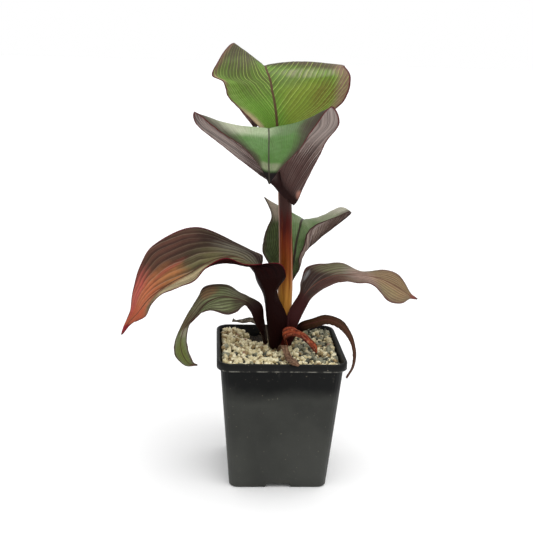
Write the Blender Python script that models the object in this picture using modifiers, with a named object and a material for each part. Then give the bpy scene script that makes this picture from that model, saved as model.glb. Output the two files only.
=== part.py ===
"""Potted young red Abyssinian banana: a square pot filled with a gritty mix, a short
leaning pseudostem, seven leaves and three withered ones.

Metres, +Z up.  The origin is the middle of the pot's flat underside, which stands on the
floor.  The plant's front faces -Y.  Sizes below are in millimetres and are scaled by MM.
"""
import math

import bmesh
import bpy
import numpy as np
from mathutils import Vector, noise

MM = 0.001
GAP = 0.3                      # clearance between two pieces that touch

# Pot: a tapered square with rounded corners and a rolled rim
POT_HEIGHT = 120.0
RIM_HALF = 56.0                # half of the rim's outer side
RIM_BAND = 7.0                 # height of the rim's outer band
NECK_HALF = 52.8               # half side of the body just under the rim
FOOT_HALF = 43.2               # half side of the body at the floor
WALL = 1.6
CORNER_TOP = 10.0              # corner radius at the rim
CORNER_FOOT = 8.0              # corner radius at the floor
CORNER_STEPS = 5
FLOOR = 2.0

# Drain notch in the middle of each lower edge
NOTCH_WIDTH = 25.0
NOTCH_TOP_WIDTH = 20.0
NOTCH_HEIGHT = 4.0
NOTCH_DEPTH = 11.0

# Gritty mix: fills the pot, with a pebbly top that is flat where the stem stands
MIX_LEVEL = 112.0
MIX_STONE = 2.2                # height of the stones above the level
MIX_HOLLOW = 9.0               # depth of the hollow at the back left
MIX_SEAT = 20.0                # radius of the flat place under the stem
MIX_CELLS = 26

# Pseudostem: a flared foot and a leaning, slightly curved axis
STEM_FOOT = MIX_LEVEL + GAP
STEM_TOP = 262.0
STEM_AXIS = ((2.0, 14.0), (5.2, 12.0), (3.2, 10.2), (1.0, 9.2))     # x, y up the stem
STEM_AXIS_AT = np.array([0.0, 0.35, 0.75, 1.0])
STEM_RADIUS_FOOT = 10.5
STEM_RADIUS_TOP = 5.7
STEM_TAPER = 0.6
STEM_FLARE = 30.0              # height in which most of the flare fades
STEM_SIDES = 20
STEM_ROWS = 12

# Leaf blades
LEAF_ROWS = 30
LEAF_CELLS = 4                 # cells from the rib to each margin
FINE_ROWS = 16
FINE_CELLS = 2
HALF_LEAST = 1.0               # least width of a half, at the tip
STALK_FADE = 2.0               # how fast the stalk's thickness fades along the blade


# ---------------------------------------------------------------- scene and materials

def clear_scene():
    for item in list(bpy.data.objects):
        bpy.data.objects.remove(item, do_unlink=True)


def new_collection(name):
    folder = bpy.data.collections.new(name)
    bpy.context.scene.collection.children.link(folder)
    return folder


def material(name, color, roughness):
    surface = bpy.data.materials.new(name)
    surface.use_nodes = True
    shader = surface.node_tree.nodes["Principled BSDF"]
    shader.inputs["Base Color"].default_value = (*color, 1.0)
    shader.inputs["Roughness"].default_value = roughness
    shader.inputs["Metallic"].default_value = 0.0
    surface.diffuse_color = (*color, 1.0)
    return surface


def new_object(name, mesh, folder, surface=None):
    item = bpy.data.objects.new(name, mesh)
    folder.objects.link(item)
    if surface is not None:
        item.data.materials.append(surface)
    return item


def mesh_from(bm, name):
    bmesh.ops.recalc_face_normals(bm, faces=bm.faces)
    mesh = bpy.data.meshes.new(name)
    bm.to_mesh(mesh)
    bm.free()
    return mesh


def cut(item, cutter, operation="DIFFERENCE"):
    modifier = item.modifiers.new(cutter.name, "BOOLEAN")
    modifier.operation = operation
    modifier.solver = "EXACT"
    modifier.object = cutter


def as_cutter(item):
    item.display_type = "WIRE"
    item.hide_render = True
    return item


# ---------------------------------------------------------------- pot

def rounded_square(half, corner, height):
    """Points of one level ring of the pot, anticlockwise."""
    ring = []
    for turn in range(4):
        start = turn * math.pi / 2
        for step in range(CORNER_STEPS + 1):
            angle = start + step / CORNER_STEPS * math.pi / 2
            middle = half - corner
            centre_x = middle * (1 if turn in (0, 3) else -1)
            centre_y = middle * (1 if turn in (0, 1) else -1)
            ring.append((
                (centre_x + corner * math.cos(angle)) * MM,
                (centre_y + corner * math.sin(angle)) * MM,
                height * MM,
            ))
    return ring


def body_half(height):
    """Half side of the tapered body's outer face at a height."""
    share = height / (POT_HEIGHT - RIM_BAND)
    return FOOT_HALF + (NECK_HALF - FOOT_HALF) * share


def inner_half(height):
    """Half side of the pot's inside at a height, from the floor to under the rim."""
    foot = body_half(FLOOR) - WALL
    share = (height - FLOOR) / (POT_HEIGHT - RIM_BAND - 2.0 - FLOOR)
    return foot + (NECK_HALF - WALL - foot) * share


def ring_stack(levels):
    """A closed solid through rings given as (half side, corner radius, height)."""
    bm = bmesh.new()
    rings = []
    for half, corner, height in levels:
        points = rounded_square(half, corner, height)
        rings.append([bm.verts.new(point) for point in points])
    count = len(rings[0])
    for lower, upper in zip(rings, rings[1:]):
        for k in range(count):
            n = (k + 1) % count
            bm.faces.new((lower[k], lower[n], upper[n], upper[k]))
    bm.faces.new(rings[0])
    bm.faces.new(rings[-1])
    return bm


def pot_levels():
    """The pot's section, from under the floor, up outside, over the rim and down inside."""
    neck = POT_HEIGHT - RIM_BAND
    lip = RIM_HALF - WALL
    return (
        (FOOT_HALF - 1.2, CORNER_FOOT - 1.0, 0.0),
        (FOOT_HALF, CORNER_FOOT, 1.2),
        (body_half(neck - 0.2), CORNER_TOP - 1.0, neck - 0.2),
        (NECK_HALF + 1.2, CORNER_TOP, neck),
        (RIM_HALF - 0.5, CORNER_TOP + 2.0, neck),
        (RIM_HALF, CORNER_TOP + 2.0, neck + 0.7),
        (RIM_HALF, CORNER_TOP + 2.0, POT_HEIGHT - 1.0),
        (RIM_HALF - 0.9, CORNER_TOP + 1.2, POT_HEIGHT),
        (lip - 0.4, CORNER_TOP + 0.6, POT_HEIGHT),
        (lip - 1.2, CORNER_TOP, POT_HEIGHT - 1.0),
        (inner_half(neck - 2.0), CORNER_TOP - 1.5, neck - 2.0),
        (inner_half(FLOOR), CORNER_FOOT - 1.5, FLOOR),
    )


def notch_block(name, turn, grow, folder):
    """The block of one drain notch, larger by grow on its inner sides and its top."""
    bm = bmesh.new()
    bmesh.ops.create_cube(bm, size=1.0)
    outer = FOOT_HALF + 4.0 if grow == 0 else FOOT_HALF - 1.0
    inner = FOOT_HALF - NOTCH_DEPTH - grow
    low = -2.0 if grow == 0 else FLOOR * 0.5
    top = NOTCH_HEIGHT + grow
    for vert in bm.verts:
        width = NOTCH_TOP_WIDTH if vert.co.z > 0 else NOTCH_WIDTH
        along = math.copysign(width / 2 + grow, vert.co.y)
        out = outer if vert.co.x > 0 else inner
        vert.co = Vector((out * MM, along * MM, (top if vert.co.z > 0 else low) * MM))
    item = new_object(name, mesh_from(bm, name), folder)
    item.rotation_euler = (0.0, 0.0, turn * math.pi / 2)
    return as_cutter(item)


def make_pot(folder, cutters, surface):
    pot = new_object("pot", mesh_from(ring_stack(pot_levels()), "pot"), folder, surface)
    for turn in range(4):
        cut(pot, notch_block(f"notch_cover_{turn}", turn, WALL, cutters), "UNION")
    for turn in range(4):
        cut(pot, notch_block(f"notch_space_{turn}", turn, 0.0, cutters))
    return pot


# ---------------------------------------------------------------- gritty mix

def mix_height(x, y):
    """Top of the mix at a place: stones, a hollow at the back left, flat at the stem."""
    stones = noise.noise(Vector((x / 6.0, y / 6.0, 3.7)))
    hollow = math.exp(-((x + 26.0) ** 2 + (y - 34.0) ** 2) / 16.0 ** 2)
    from_stem = math.hypot(x - STEM_AXIS[0][0], y - STEM_AXIS[0][1] + 6.0)
    away = min(max((from_stem - MIX_SEAT) / 6.0, 0.0), 1.0)
    return MIX_LEVEL + away * (MIX_STONE * (0.4 + stones) - MIX_HOLLOW * hollow)


def round_corner(x, y, half, corner):
    """Moves a point of a square, with this half side, so that the square's corners are round."""
    spare_x = abs(x) - (half - corner)
    spare_y = abs(y) - (half - corner)
    if spare_x <= 0 or spare_y <= 0:
        return x, y
    pull = max(spare_x, spare_y) / math.hypot(spare_x, spare_y)
    near = half - corner
    return math.copysign(near + spare_x * pull, x), math.copysign(near + spare_y * pull, y)


def make_mix(folder, cutters, surface):
    base = FLOOR + GAP
    shoulder = MIX_LEVEL - MIX_HOLLOW - 3.0
    levels = (
        (inner_half(base) - GAP, CORNER_FOOT - 1.0, base),
        (inner_half(shoulder) - GAP, CORNER_TOP - 1.0, shoulder),
    )
    mix = new_object("gritty_mix", mesh_from(ring_stack(levels), "gritty_mix"), folder, surface)
    for turn in range(4):
        cut(mix, notch_block(f"notch_clear_{turn}", turn, WALL + GAP, cutters))
    bm = bmesh.new()
    size = inner_half(shoulder - 2.0) - GAP
    bmesh.ops.create_grid(bm, x_segments=MIX_CELLS, y_segments=MIX_CELLS, size=size)
    for vert in bm.verts:
        x, y = round_corner(vert.co.x, vert.co.y, size, CORNER_TOP - 1.0)
        vert.co = Vector((x, y, mix_height(x, y))) * MM
    rim = [edge for edge in bm.edges if edge.is_boundary]
    extruded = bmesh.ops.extrude_edge_only(bm, edges=rim)["geom"]
    skirt = [part for part in extruded if isinstance(part, bmesh.types.BMVert)]
    for vert in skirt:
        vert.co.z = (shoulder - 2.0) * MM
    bmesh.ops.contextual_create(bm, geom=[edge for edge in bm.edges if edge.is_boundary])
    topping = as_cutter(new_object("mix_topping", mesh_from(bm, "mix_topping"), cutters))
    cut(mix, topping, "UNION")
    return mix


# ---------------------------------------------------------------- curves and pseudostem

def smooth_curve(keys, at, places):
    """A smooth curve through keys that stand at the given places along it."""
    slopes = np.gradient(keys, at, axis=0)
    first = np.clip(np.searchsorted(at, places, side="right") - 1, 0, len(at) - 2)
    gap = (at[first + 1] - at[first])[:, None]
    part = (places - at[first])[:, None] / gap
    square, cube = part ** 2, part ** 3
    curve = (2 * cube - 3 * square + 1) * keys[first] + (3 * square - 2 * cube) * keys[first + 1]
    curve += (cube - 2 * square + part) * gap * slopes[first]
    return curve + (cube - square) * gap * slopes[first + 1]


def stem_centre(height):
    share = np.array([(height - STEM_FOOT) / (STEM_TOP - STEM_FOOT)])
    return smooth_curve(np.array(STEM_AXIS), STEM_AXIS_AT, share)[0]


def stem_radius(height):
    rise = height - STEM_FOOT
    share = rise / (STEM_TOP - STEM_FOOT)
    flare = math.exp(-rise / STEM_FLARE)
    upper = STEM_RADIUS_TOP + STEM_TAPER * (1.0 - share)
    return upper + (STEM_RADIUS_FOOT - STEM_RADIUS_TOP - STEM_TAPER) * flare


def make_stem(name, grow, folder, surface=None):
    """The pseudostem, or a copy of it that is larger all round by grow."""
    bm = bmesh.new()
    bmesh.ops.create_cone(
        bm, cap_ends=True, segments=STEM_SIDES, radius1=1.0, radius2=1.0, depth=1.0,
    )
    sides = [edge for edge in bm.edges if abs(edge.verts[0].co.z - edge.verts[1].co.z) > 0.5]
    bmesh.ops.subdivide_edges(bm, edges=sides, cuts=STEM_ROWS - 1, use_grid_fill=True)
    for vert in bm.verts:
        share = vert.co.z + 0.5
        height = STEM_FOOT + (STEM_TOP - STEM_FOOT) * share
        radius = stem_radius(height) + grow
        x, y = stem_centre(height)
        raised = height + grow * (2.0 * share - 1.0)
        vert.co = Vector(((x + radius * vert.co.x) * MM, (y + radius * vert.co.y) * MM, raised * MM))
    return new_object(name, mesh_from(bm, name), folder, surface)


# ---------------------------------------------------------------- leaves

def unit(vectors):
    return vectors / np.maximum(np.linalg.norm(vectors, axis=-1), 1e-9)[..., None]


def leaf_surface(leaf, rows, cells):
    """Upper face of a leaf as a (rows + 1) by (2 * cells + 1) grid of points.

    The rib and both margins are smooth curves through the leaf's stations.  Each half is a
    strip between rib and margin that bows towards the upper side by its station's bow.
    """
    stations = leaf["stations"]
    rib, left, right = (np.array([row[k] for row in stations], dtype=float) for k in range(3))
    bows = np.array([row[3:] for row in stations], dtype=float)
    steps = np.linalg.norm(np.diff(rib, axis=0), axis=1)
    at = np.concatenate([[0.0], np.cumsum(steps)]) / steps.sum()
    share = np.linspace(0.0, 1.0, rows + 1)
    points = smooth_curve(rib, at, share)
    bow = smooth_curve(bows, at, share)
    ahead = unit(np.gradient(points, axis=0))
    start = at[leaf["blade_from"]]
    blade_share = np.clip((share - start) / (1.0 - start), 0.0, 1.0)
    grid = np.zeros((rows + 1, 2 * cells + 1, 3))
    for sign, margin, k in ((1, left, 0), (-1, right, 1)):
        span = smooth_curve(margin, at, share) - points
        width = np.linalg.norm(span, axis=1)[:, None]
        span *= np.maximum(HALF_LEAST, width) / width
        upward = unit(sign * np.cross(ahead, span))
        for cell in range(cells + 1):
            part = cell / cells
            lift = bow[:, k] * math.sin(math.pi * part ** leaf["bow_reach"])
            grid[:, cells + sign * cell] = points + part * span + lift[:, None] * upward
    return grid, blade_share


def make_leaf(name, leaf, folder, surface, rows=LEAF_ROWS, cells=LEAF_CELLS):
    """A leaf: its upper face made solid, thicker along the stalk."""
    grid, blade_share = leaf_surface(leaf, rows, cells)
    bm = bmesh.new()
    bmesh.ops.create_grid(bm, x_segments=2 * cells, y_segments=rows, size=0.5)
    weights = []
    for vert in bm.verts:
        column = 2 * cells - round((vert.co.x + 0.5) * 2 * cells)
        row = round((vert.co.y + 0.5) * rows)
        vert.co = Vector(grid[row, column] * MM)
        offset = abs(column - cells) / cells
        weights.append((1.0 - min(blade_share[row] * STALK_FADE, 1.0)) * (1.0 - offset ** 2))
    item = new_object(name, mesh_from(bm, name), folder, surface)
    group = item.vertex_groups.new(name="stalk")
    for index, weight in enumerate(weights):
        group.add([index], weight, "REPLACE")
    shell = item.modifiers.new("thickness", "SOLIDIFY")
    shell.thickness = leaf["stalk_thick"] * MM
    shell.offset = -1.0
    shell.vertex_group = group.name
    shell.thickness_vertex_group = leaf["blade_thick"] / leaf["stalk_thick"]
    return item


def blade(stations, blade_from, stalk_thick=5.0, blade_thick=2.2, bow_reach=1.0):
    """A leaf: its stations and the station where its stalk ends.

    A station is the rib's point, the left and the right margin's points, seen from the
    upper side on the way to the tip, and the bow of each half.
    """
    return {
        "stations": stations, "blade_from": blade_from, "stalk_thick": stalk_thick,
        "blade_thick": blade_thick, "bow_reach": bow_reach,
    }


LEAVES = {
    # stands up behind the crown and arches away to the back
    "leaf_upright": blade(
        blade_from=2, stations=[
            ((1, 12.8, 262.5), (-1.6, 12.8, 262.5), (3.6, 12.8, 262.5), 0, 0),
            ((0, 15, 283), (-3, 15, 283), (3, 14.5, 283), 0, 0),
            ((-5.5, 17, 307), (-14, 17, 306), (10, 13, 306), 0, -1),
            ((-8, 19, 326.5), (-39, 12, 327.5), (47, 6, 333), -3, -6),
            ((-9.5, 22, 335.5), (-49, 12.5, 337.5), (52, 7, 342), -3, -6),
            ((-11.5, 25.5, 344), (-52, 14, 346), (54.5, 9, 350), -3, -6),
            ((-12, 28, 348), (-55, 15, 350.5), (55, 11.5, 354), -2.5, -5.5),
            ((-13, 30, 352), (-63, 17, 352.5), (55, 14, 357.5), -2, -5),
            ((-15.5, 37, 359), (-57.5, 27, 368), (52.5, 24, 363.5), 1, -2),
            ((-17, 48, 363.5), (-48, 42, 380.5), (50, 40, 367), 0, 2.3),
            ((-18, 68, 359), (-37.5, 66, 373), (30.5, 62, 358.5), 2, 2.5),
            ((-21, 93, 330), (-44, 90, 334), (8, 92, 328), 3, 3),
            ((-22, 106, 303), (-23, 106, 303.5), (-21, 106, 303.5), 0, 0),
        ],
    ),
    # rises in front of it and folds over towards the front
    "leaf_front": blade(
        blade_from=1, stalk_thick=2.4, stations=[
            ((0.5, 3.5, 253), (9.5, 5, 245.5), (-6, 3.5, 260), 0, 0),
            ((-2.5, 1.5, 267), (12.5, 3.5, 250), (-12.5, 1, 266), -1.5, -0.5),
            ((-7, -4, 283.5), (17.5, -1, 264.5), (-23, -5, 274.5), -3, -2),
            ((-13, -12.5, 298.5), (28.5, -11, 291), (-47, -14, 293), -2, -3.5),
            ((-14.5, -19, 308.5), (33, -19, 305.5), (-63.5, -21, 306), -2, -3),
            ((-16, -25, 313.5), (41, -27, 319.5), (-75.5, -29, 316.5), -2, -3),
            ((-17, -35, 315.5), (34, -40, 334), (-77.5, -40, 326), -3, -3),
            ((-17.5, -50, 310.5), (17, -54, 317), (-59, -54, 315), 0, 1),
            ((-18, -62, 299), (6, -64, 301.5), (-38.5, -64, 302.5), 1, 2),
            ((-18, -69, 287.5), (-8.5, -70, 287.5), (-26, -70, 289), 0, 1),
            ((-17.5, -72, 275), (-17, -72, 275.5), (-18, -72, 275.5), 0, 0),
        ],
    ),
    # behind the stem, leaning right
    "leaf_rear": blade(
        blade_from=2, stalk_thick=4.0, bow_reach=2.4, stations=[
            ((5, 20.3, 150), (2.5, 20.3, 150), (7.5, 20.3, 150), 0, 0),
            ((6, 21, 165), (3.5, 21, 165), (8.5, 20.5, 165), 0, 0),
            ((9.5, 23, 176), (3, 24, 175.5), (12, 20, 175.5), -1, -1),
            ((11.5, 24.5, 184), (-5.5, 29, 183.5), (17.5, 17.5, 185.5), -2, -1.5),
            ((13.5, 26, 193), (-12.5, 33, 192), (17, 15, 193), -3, -3.5),
            ((16.5, 33, 210.5), (-14, 40, 206.5), (20, 16, 207.5), -4, -7),
            ((19, 39, 218.5), (-11, 45.5, 217), (23, 19, 218), -3.5, -7.5),
            ((20.5, 44, 223), (-7, 51, 226), (27.5, 22, 223), -3, -7),
            ((24, 58, 223.5), (-13, 56, 244.5), (47, 34, 229), -1, -1.5),
            ((29, 73, 218.5), (4, 74, 222), (67, 50, 231.5), 1, 7),
            ((33.5, 88, 204), (16.5, 88, 204.5), (55.5, 84, 209), 2, 3),
            ((33, 94, 186), (32.5, 94, 186.5), (33.5, 94, 186.5), 0, 0),
        ],
    ),
    # the large leaf at the left
    "leaf_left_large": blade(
        blade_from=3, stations=[
            ((-3.5, 4.8, 115), (1.2, 3.6, 115), (-7.3, 9.4, 115), 0, 0),
            ((-6, 0.5, 143.5), (7, 1.5, 143.5), (-11, 7, 141.5), 0, 0),
            ((-9.5, -2.5, 167), (-3, -2.5, 169.5), (-15, 3, 165), 0, 0),
            ((-17.5, -7, 185), (3.5, -8, 186), (-22.5, 0, 183.5), -2, 0),
            ((-28, -9, 196.5), (-4.5, -13, 198), (-16.5, 3, 196.5), -4, 1),
            ((-40.5, -10, 202.5), (-31.5, -21, 198.5), (-21.5, 8, 202.5), -4, 2),
            ((-54.5, -12, 201.5), (-50, -27, 203.5), (-59, 7, 220.5), -4, 2),
            ((-68, -14, 196), (-66, -30, 196), (-81, 5, 224.5), -1, 3),
            ((-81, -16, 188), (-77.5, -30, 185.5), (-101.5, 1, 216.5), 0, 3),
            ((-92, -18, 182.5), (-89, -29, 179.5), (-114.5, -4, 207), 0, 3),
            ((-103.5, -19, 175.5), (-102.5, -28, 174), (-123.5, -9, 190), 0, 2),
            ((-115, -20, 166), (-112, -27, 164.5), (-129.5, -14, 171), 0, 1),
            ((-125.5, -21, 152.5), (-118, -25, 151), (-132, -18.5, 152.5), 0, 0),
            ((-132.5, -21.5, 144.5), (-129.5, -23, 144.5), (-136.5, -20.5, 142.5), 0, 0),
            ((-138.5, -22, 134), (-138, -22, 134.5), (-138.5, -22, 134.5), 0, 0),
        ],
    ),
    # the smaller leaf below it
    "leaf_left_lower": blade(
        blade_from=3, stalk_thick=4.0, stations=[
            ((-9, 16, 115), (-8.6, 13.6, 115), (-8.6, 18.4, 115), 0, 0),
            ((-17, 6, 138), (-21, 3, 137), (-13, 10, 139), 0, 0),
            ((-24, 0, 153), (-27, -2.5, 151.5), (-17, 3, 156.5), 0, 0),
            ((-29.5, -2, 158.5), (-31.5, -5, 157), (-23, 3, 160.5), 0, 0),
            ((-38, -4.5, 162.5), (-38, -11, 153.5), (-32, 2, 164.5), -1, 1),
            ((-52, -9, 165.5), (-48.5, -19, 152.5), (-48, 0, 174), 0, 1),
            ((-65, -13, 161.5), (-63, -20, 156), (-67, -4, 173.5), 0, 2),
            ((-76, -17, 149.5), (-74, -20, 150), (-79, -11, 156.5), 0, 1),
            ((-85, -20, 138.5), (-81, -22, 141), (-89, -17, 137), 0, 0),
            ((-87.5, -21, 125), (-82, -23, 126.5), (-93, -20, 124.5), 0, 0),
            ((-85, -20, 114), (-79, -22, 115.5), (-91.5, -19, 113), 0, 0),
            ((-80, -19, 107), (-76, -20.5, 108), (-83, -18, 104), 0, 0),
            ((-72.5, -18, 105), (-73, -18, 105.5), (-73, -18, 104.5), 0, 0),
        ],
    ),
    # the large leaf at the right
    "leaf_right_large": blade(
        blade_from=3, stations=[
            ((9, 7, 115), (7, 9.3, 115), (11, 4.7, 115), 0, 0),
            ((11, 3.5, 143), (5.5, 6.5, 142), (18, 0, 141.5), 0, 0),
            ((17, 1.5, 156), (12, 5.5, 156), (23, -3, 155), 0, 0),
            ((21, -0.5, 165), (17.5, 5, 166.5), (26.5, -5, 163), 0.5, 0),
            ((27, -3, 173.5), (18, 7, 176), (33, -8, 170.5), 2, 0),
            ((37, -5, 181.5), (24, 10, 187.5), (43.5, -11, 178.5), 3, 0),
            ((48, -7, 186), (39, 9, 192), (55, -14, 182.5), 3, 0),
            ((60, -8, 187), (55.5, 6, 194.5), (68, -17, 182.5), 2, -1),
            ((72.5, -9, 187), (70, 0, 188.5), (79, -19, 180), 1, -1),
            ((85, -10, 185), (84, -3, 191), (88.5, -20, 171), 1, 1),
            ((97.5, -11, 180), (99.5, -5, 189), (97, -20, 165), 1, 1),
            ((108.5, -12, 173.5), (109.5, -9, 180), (108, -17, 164.5), 0, 0),
            ((115, -12, 169), (115.5, -11, 171), (114.5, -13, 167), 0, 0),
            ((121, -12, 166.5), (120.5, -12, 167), (120.5, -12, 166.5), 0, 0),
        ],
    ),
    # the narrow leaf that hangs at the right
    "leaf_right_narrow": blade(
        blade_from=1, stalk_thick=2.6, blade_thick=1.4, stations=[
            ((11, 18.5, 115.5), (11.5, 20.4, 115.5), (10.5, 16.6, 115.5), 0, 0),
            ((21, 14, 131.5), (20, 16, 134.5), (24, 12, 128), 0, 0),
            ((32, 8, 137.5), (30.5, 10.5, 140.5), (33, 5, 134), 0, 0),
            ((43.5, 3, 142), (43, 6, 145.5), (44, 0, 138.5), 0, 0),
            ((54.5, -2, 139.5), (57, 2, 142), (53, -5, 136.5), 0, 0),
            ((62, -6, 132.5), (64.5, -3, 132.5), (59, -9, 131.5), 0, 0),
            ((66.5, -9, 122.5), (68.5, -7, 121.5), (64.5, -11, 123), 0, 0),
            ((68, -11, 112.5), (69.5, -9, 111.5), (66.5, -12, 112.5), 0, 0),
            ((67, -12, 102.5), (68, -11, 102), (65.5, -12.5, 102.5), 0, 0),
            ((61, -13, 92), (62, -12.5, 91), (60.5, -13.5, 93), 0, 0),
        ],
    ),
}

WITHERED = {
    # a curled strap that lies over to the right
    "withered_leaf_right": blade(
        blade_from=1, stalk_thick=2.0, blade_thick=1.3, stations=[
            ((6.9, 4.1, 115), (7.7, 5, 115), (6.2, 3.3, 115), 0, 0),
            ((6, -8.5, 131.5), (3.5, -6, 139.5), (7.5, -11, 126.5), 1, 1),
            ((12, -11, 134.5), (10, -8, 140.5), (11.5, -14, 129), 1, 1),
            ((19.5, -13, 132), (20.5, -10, 135.5), (17, -16, 129), 1, 1),
            ((26, -16, 127.5), (28.5, -14, 130), (23.5, -18, 124), 0, 0),
            ((31, -18, 122), (34.5, -16, 123.5), (27.5, -19, 119), 0, 0),
            ((32.5, -18, 117.5), (33.5, -18, 118), (30.5, -18, 117), 0, 0),
        ],
    ),
    # a strap that hangs forward over the rim
    "withered_leaf_front": blade(
        blade_from=1, stalk_thick=2.0, blade_thick=1.3, stations=[
            ((-1, -4.8, 115.5), (0.2, -4.8, 115.5), (-2.2, -4.8, 115.5), 0, 0),
            ((2.5, -13, 122.5), (5.5, -13, 123), (0, -13, 123), 0, 0),
            ((4, -26, 121), (7, -26, 122), (2, -26, 121), 0, 0),
            ((5.5, -40, 120.5), (9, -40, 121.5), (3, -40, 119), 0, 0),
            ((7, -54, 123), (11, -53, 123.5), (4.5, -53, 121.5), 0, 0),
            ((9.5, -60, 123), (12, -60, 124), (7.5, -60, 121.5), 0, 0),
            ((12.5, -61, 121), (13.5, -61, 122), (12, -61, 120.5), 0, 0),
        ],
    ),
    # a thin grey strap that arches to the back left corner
    "dead_leaf_rear": blade(
        blade_from=1, stalk_thick=2.0, blade_thick=1.3, stations=[
            ((-6, 21, 115), (-6.8, 20, 115), (-5.2, 22, 115), 0, 0),
            ((-13, 33, 126), (-14.5, 31.5, 124), (-11.5, 34.5, 128), 0, 0),
            ((-24.5, 44, 128), (-24.5, 42, 126.5), (-24.5, 46, 130), 0, 0),
            ((-32.5, 50, 124.5), (-31.5, 49, 123), (-33.5, 52, 126), 0, 0),
            ((-37.5, 54, 123.5), (-37, 53, 123), (-38, 55, 124.5), 0, 0),
            ((-41, 57, 123.5), (-41.5, 57, 121.5), (-40, 57, 125.5), 0, 0),
        ],
    ),
}


# ---------------------------------------------------------------- the whole plant

def main():
    clear_scene()
    folder = new_collection("potted_banana_plant")
    cutters = new_collection("cutters")
    black = material("black_plastic", (0.012, 0.013, 0.014), 0.42)
    grit = material("grit", (0.42, 0.36, 0.27), 0.9)
    bark = material("stem_sheath", (0.16, 0.035, 0.02), 0.4)
    green = material("leaf_green", (0.06, 0.16, 0.03), 0.38)
    dry = material("dry_leaf", (0.26, 0.08, 0.05), 0.7)

    make_pot(folder, cutters, black)
    make_mix(folder, cutters, grit)
    make_stem("pseudostem", 0.0, folder, bark)
    stem_clear = as_cutter(make_stem("stem_clear", GAP, cutters))
    for name, leaf in LEAVES.items():
        cut(make_leaf(name, leaf, folder, green), stem_clear)
    for name, leaf in WITHERED.items():
        piece = make_leaf(name, leaf, folder, dry, FINE_ROWS, FINE_CELLS)
        cut(piece, stem_clear)


main()
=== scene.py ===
"""Looks of a potted young red Abyssinian banana, laid out as a Blender add-on.

Sizes are in millimetres unless a name says otherwise, and MM turns them into metres.
Shader numbers are in metres where they are heights or distances. Colours are the 0 to 255
numbers of a paint chart.
"""
import itertools
import math
import random

import bmesh
import bpy
import numpy as np
from bpy.props import FloatProperty, FloatVectorProperty, IntProperty, PointerProperty
from mathutils import Matrix, Vector, noise


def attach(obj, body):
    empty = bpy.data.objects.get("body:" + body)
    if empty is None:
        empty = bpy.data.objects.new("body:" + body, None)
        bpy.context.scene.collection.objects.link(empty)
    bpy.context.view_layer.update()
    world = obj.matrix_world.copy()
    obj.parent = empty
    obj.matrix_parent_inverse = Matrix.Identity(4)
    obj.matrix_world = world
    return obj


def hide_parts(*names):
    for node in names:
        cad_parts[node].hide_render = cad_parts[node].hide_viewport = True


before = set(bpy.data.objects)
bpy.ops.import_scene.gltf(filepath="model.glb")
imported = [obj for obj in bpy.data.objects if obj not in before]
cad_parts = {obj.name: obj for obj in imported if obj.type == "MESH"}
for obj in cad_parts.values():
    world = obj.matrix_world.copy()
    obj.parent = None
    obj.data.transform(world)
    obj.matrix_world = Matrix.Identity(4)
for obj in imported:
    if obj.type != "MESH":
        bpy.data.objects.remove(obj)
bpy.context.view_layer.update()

bl_info = {
    "name": "Potted Red Banana",
    "version": (1, 0, 0),
    "blender": (4, 5, 0),
    "location": "View3D > Sidebar > Plant",
    "description": "Finishes a potted young red banana plant: leaves, stem, pot and gravel",
    "category": "Object",
}

MM = 0.001

# Camera: a level tripod a little above the crown, turned slightly to the right
CAMERA_PLACE = (-0.0611, -0.7414, 0.3743)
CAMERA_PITCH = 13.84           # degrees below the horizon
CAMERA_YAW = 3.70              # degrees to the right of straight ahead
CAMERA_ROLL = 1.73
CAMERA_LENS = 58.56
SENSOR = 36.0
KEY_FROM = (0.28, -0.3, 1.0)   # direction that the large soft light comes from
KEY_SPREAD = 80.0              # degrees across
CLIP_FROM = 0.01               # metres
FLOOR_HALF = 30.0              # metres
# Brightness of the surroundings by the sine of the height above the horizon
SKY_STOPS = ((0.07, 1.0), (0.16, 0.6), (0.62, 0.6), (0.85, 1.2))

# Leaves
STALK_SPAN = 0.2               # share of a leaf's pattern length that its stalk takes
PATTERN_UNIT = 100.0           # length that is 1 in the surface UV map
BLADE_THICK = 0.55
GROOVE_DEPTH = 0.5             # of the midrib, on the upper face
GROOVE_REACH = 2.2
KEEL_REACH = 1.6               # how far the midrib's extra thickness goes to each side
FULL_RELIEF = 10.0             # half width from which a blade has its pleats and waves in full
WAVES = ((11.0, 1.0), (23.0, 0.6), (41.0, 0.3))  # of a margin: turns and sizes
VEIN_LEAST = 0.2               # strength of the faintest side vein
TIP_BLUR = 0.03
DRY_ROWS = 60
DRY_CELLS = 6

# Pseudostem, as the solid: heights above the floor, axis places and radii
STEM_FOOT = 112.3
STEM_TOP = 262.0
STEM_AXIS = ((2.0, 14.0), (5.2, 12.0), (3.2, 10.2), (1.0, 9.2))
STEM_AXIS_AT = np.array([0.0, 0.35, 0.75, 1.0])
STEM_RADIUS_FOOT = 10.5
STEM_RADIUS_TOP = 5.7
STEM_TAPER = 0.6
STEM_FLARE = 30.0
STEM_GAP = 0.6                 # from the plain stem to a leaf, so that the steps fit between
STEM_SIDES = 72
STEM_ROWS = 90
SHEATH_EDGES = ((-1.9, 0.5), (0.4, -0.4), (2.3, 0.3))  # angle at the foot and twist, radians
SHEATH_STEP = 0.55             # height of the step at a sheath's edge
SHEATH_FADE = 0.9              # radians over which the step dies out
SHEATH_SINK = 0.35             # how far the skin between steps lies inside the plain stem
STEM_MIDDLE = (0.0030, 0.0105)  # metres, for the pale lines up the stem, partly sheath margins and partly painted highlight
STEM_LINES = ((-2.8, 0.6), (-0.4, 0.4))  # their angles and strengths

# Pot, in metres: the rim's lower edge, the body just under it, and the edges kept sharp
RIM_LOW = 0.1135
NECK_HALF = 0.0532
WORN_GLINT_WIDTH = 0.0012            # of the line along the rim's lower edge: scuffs, and a painted highlight on that edge
SHARP_FROM = 34.0              # degrees

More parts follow.
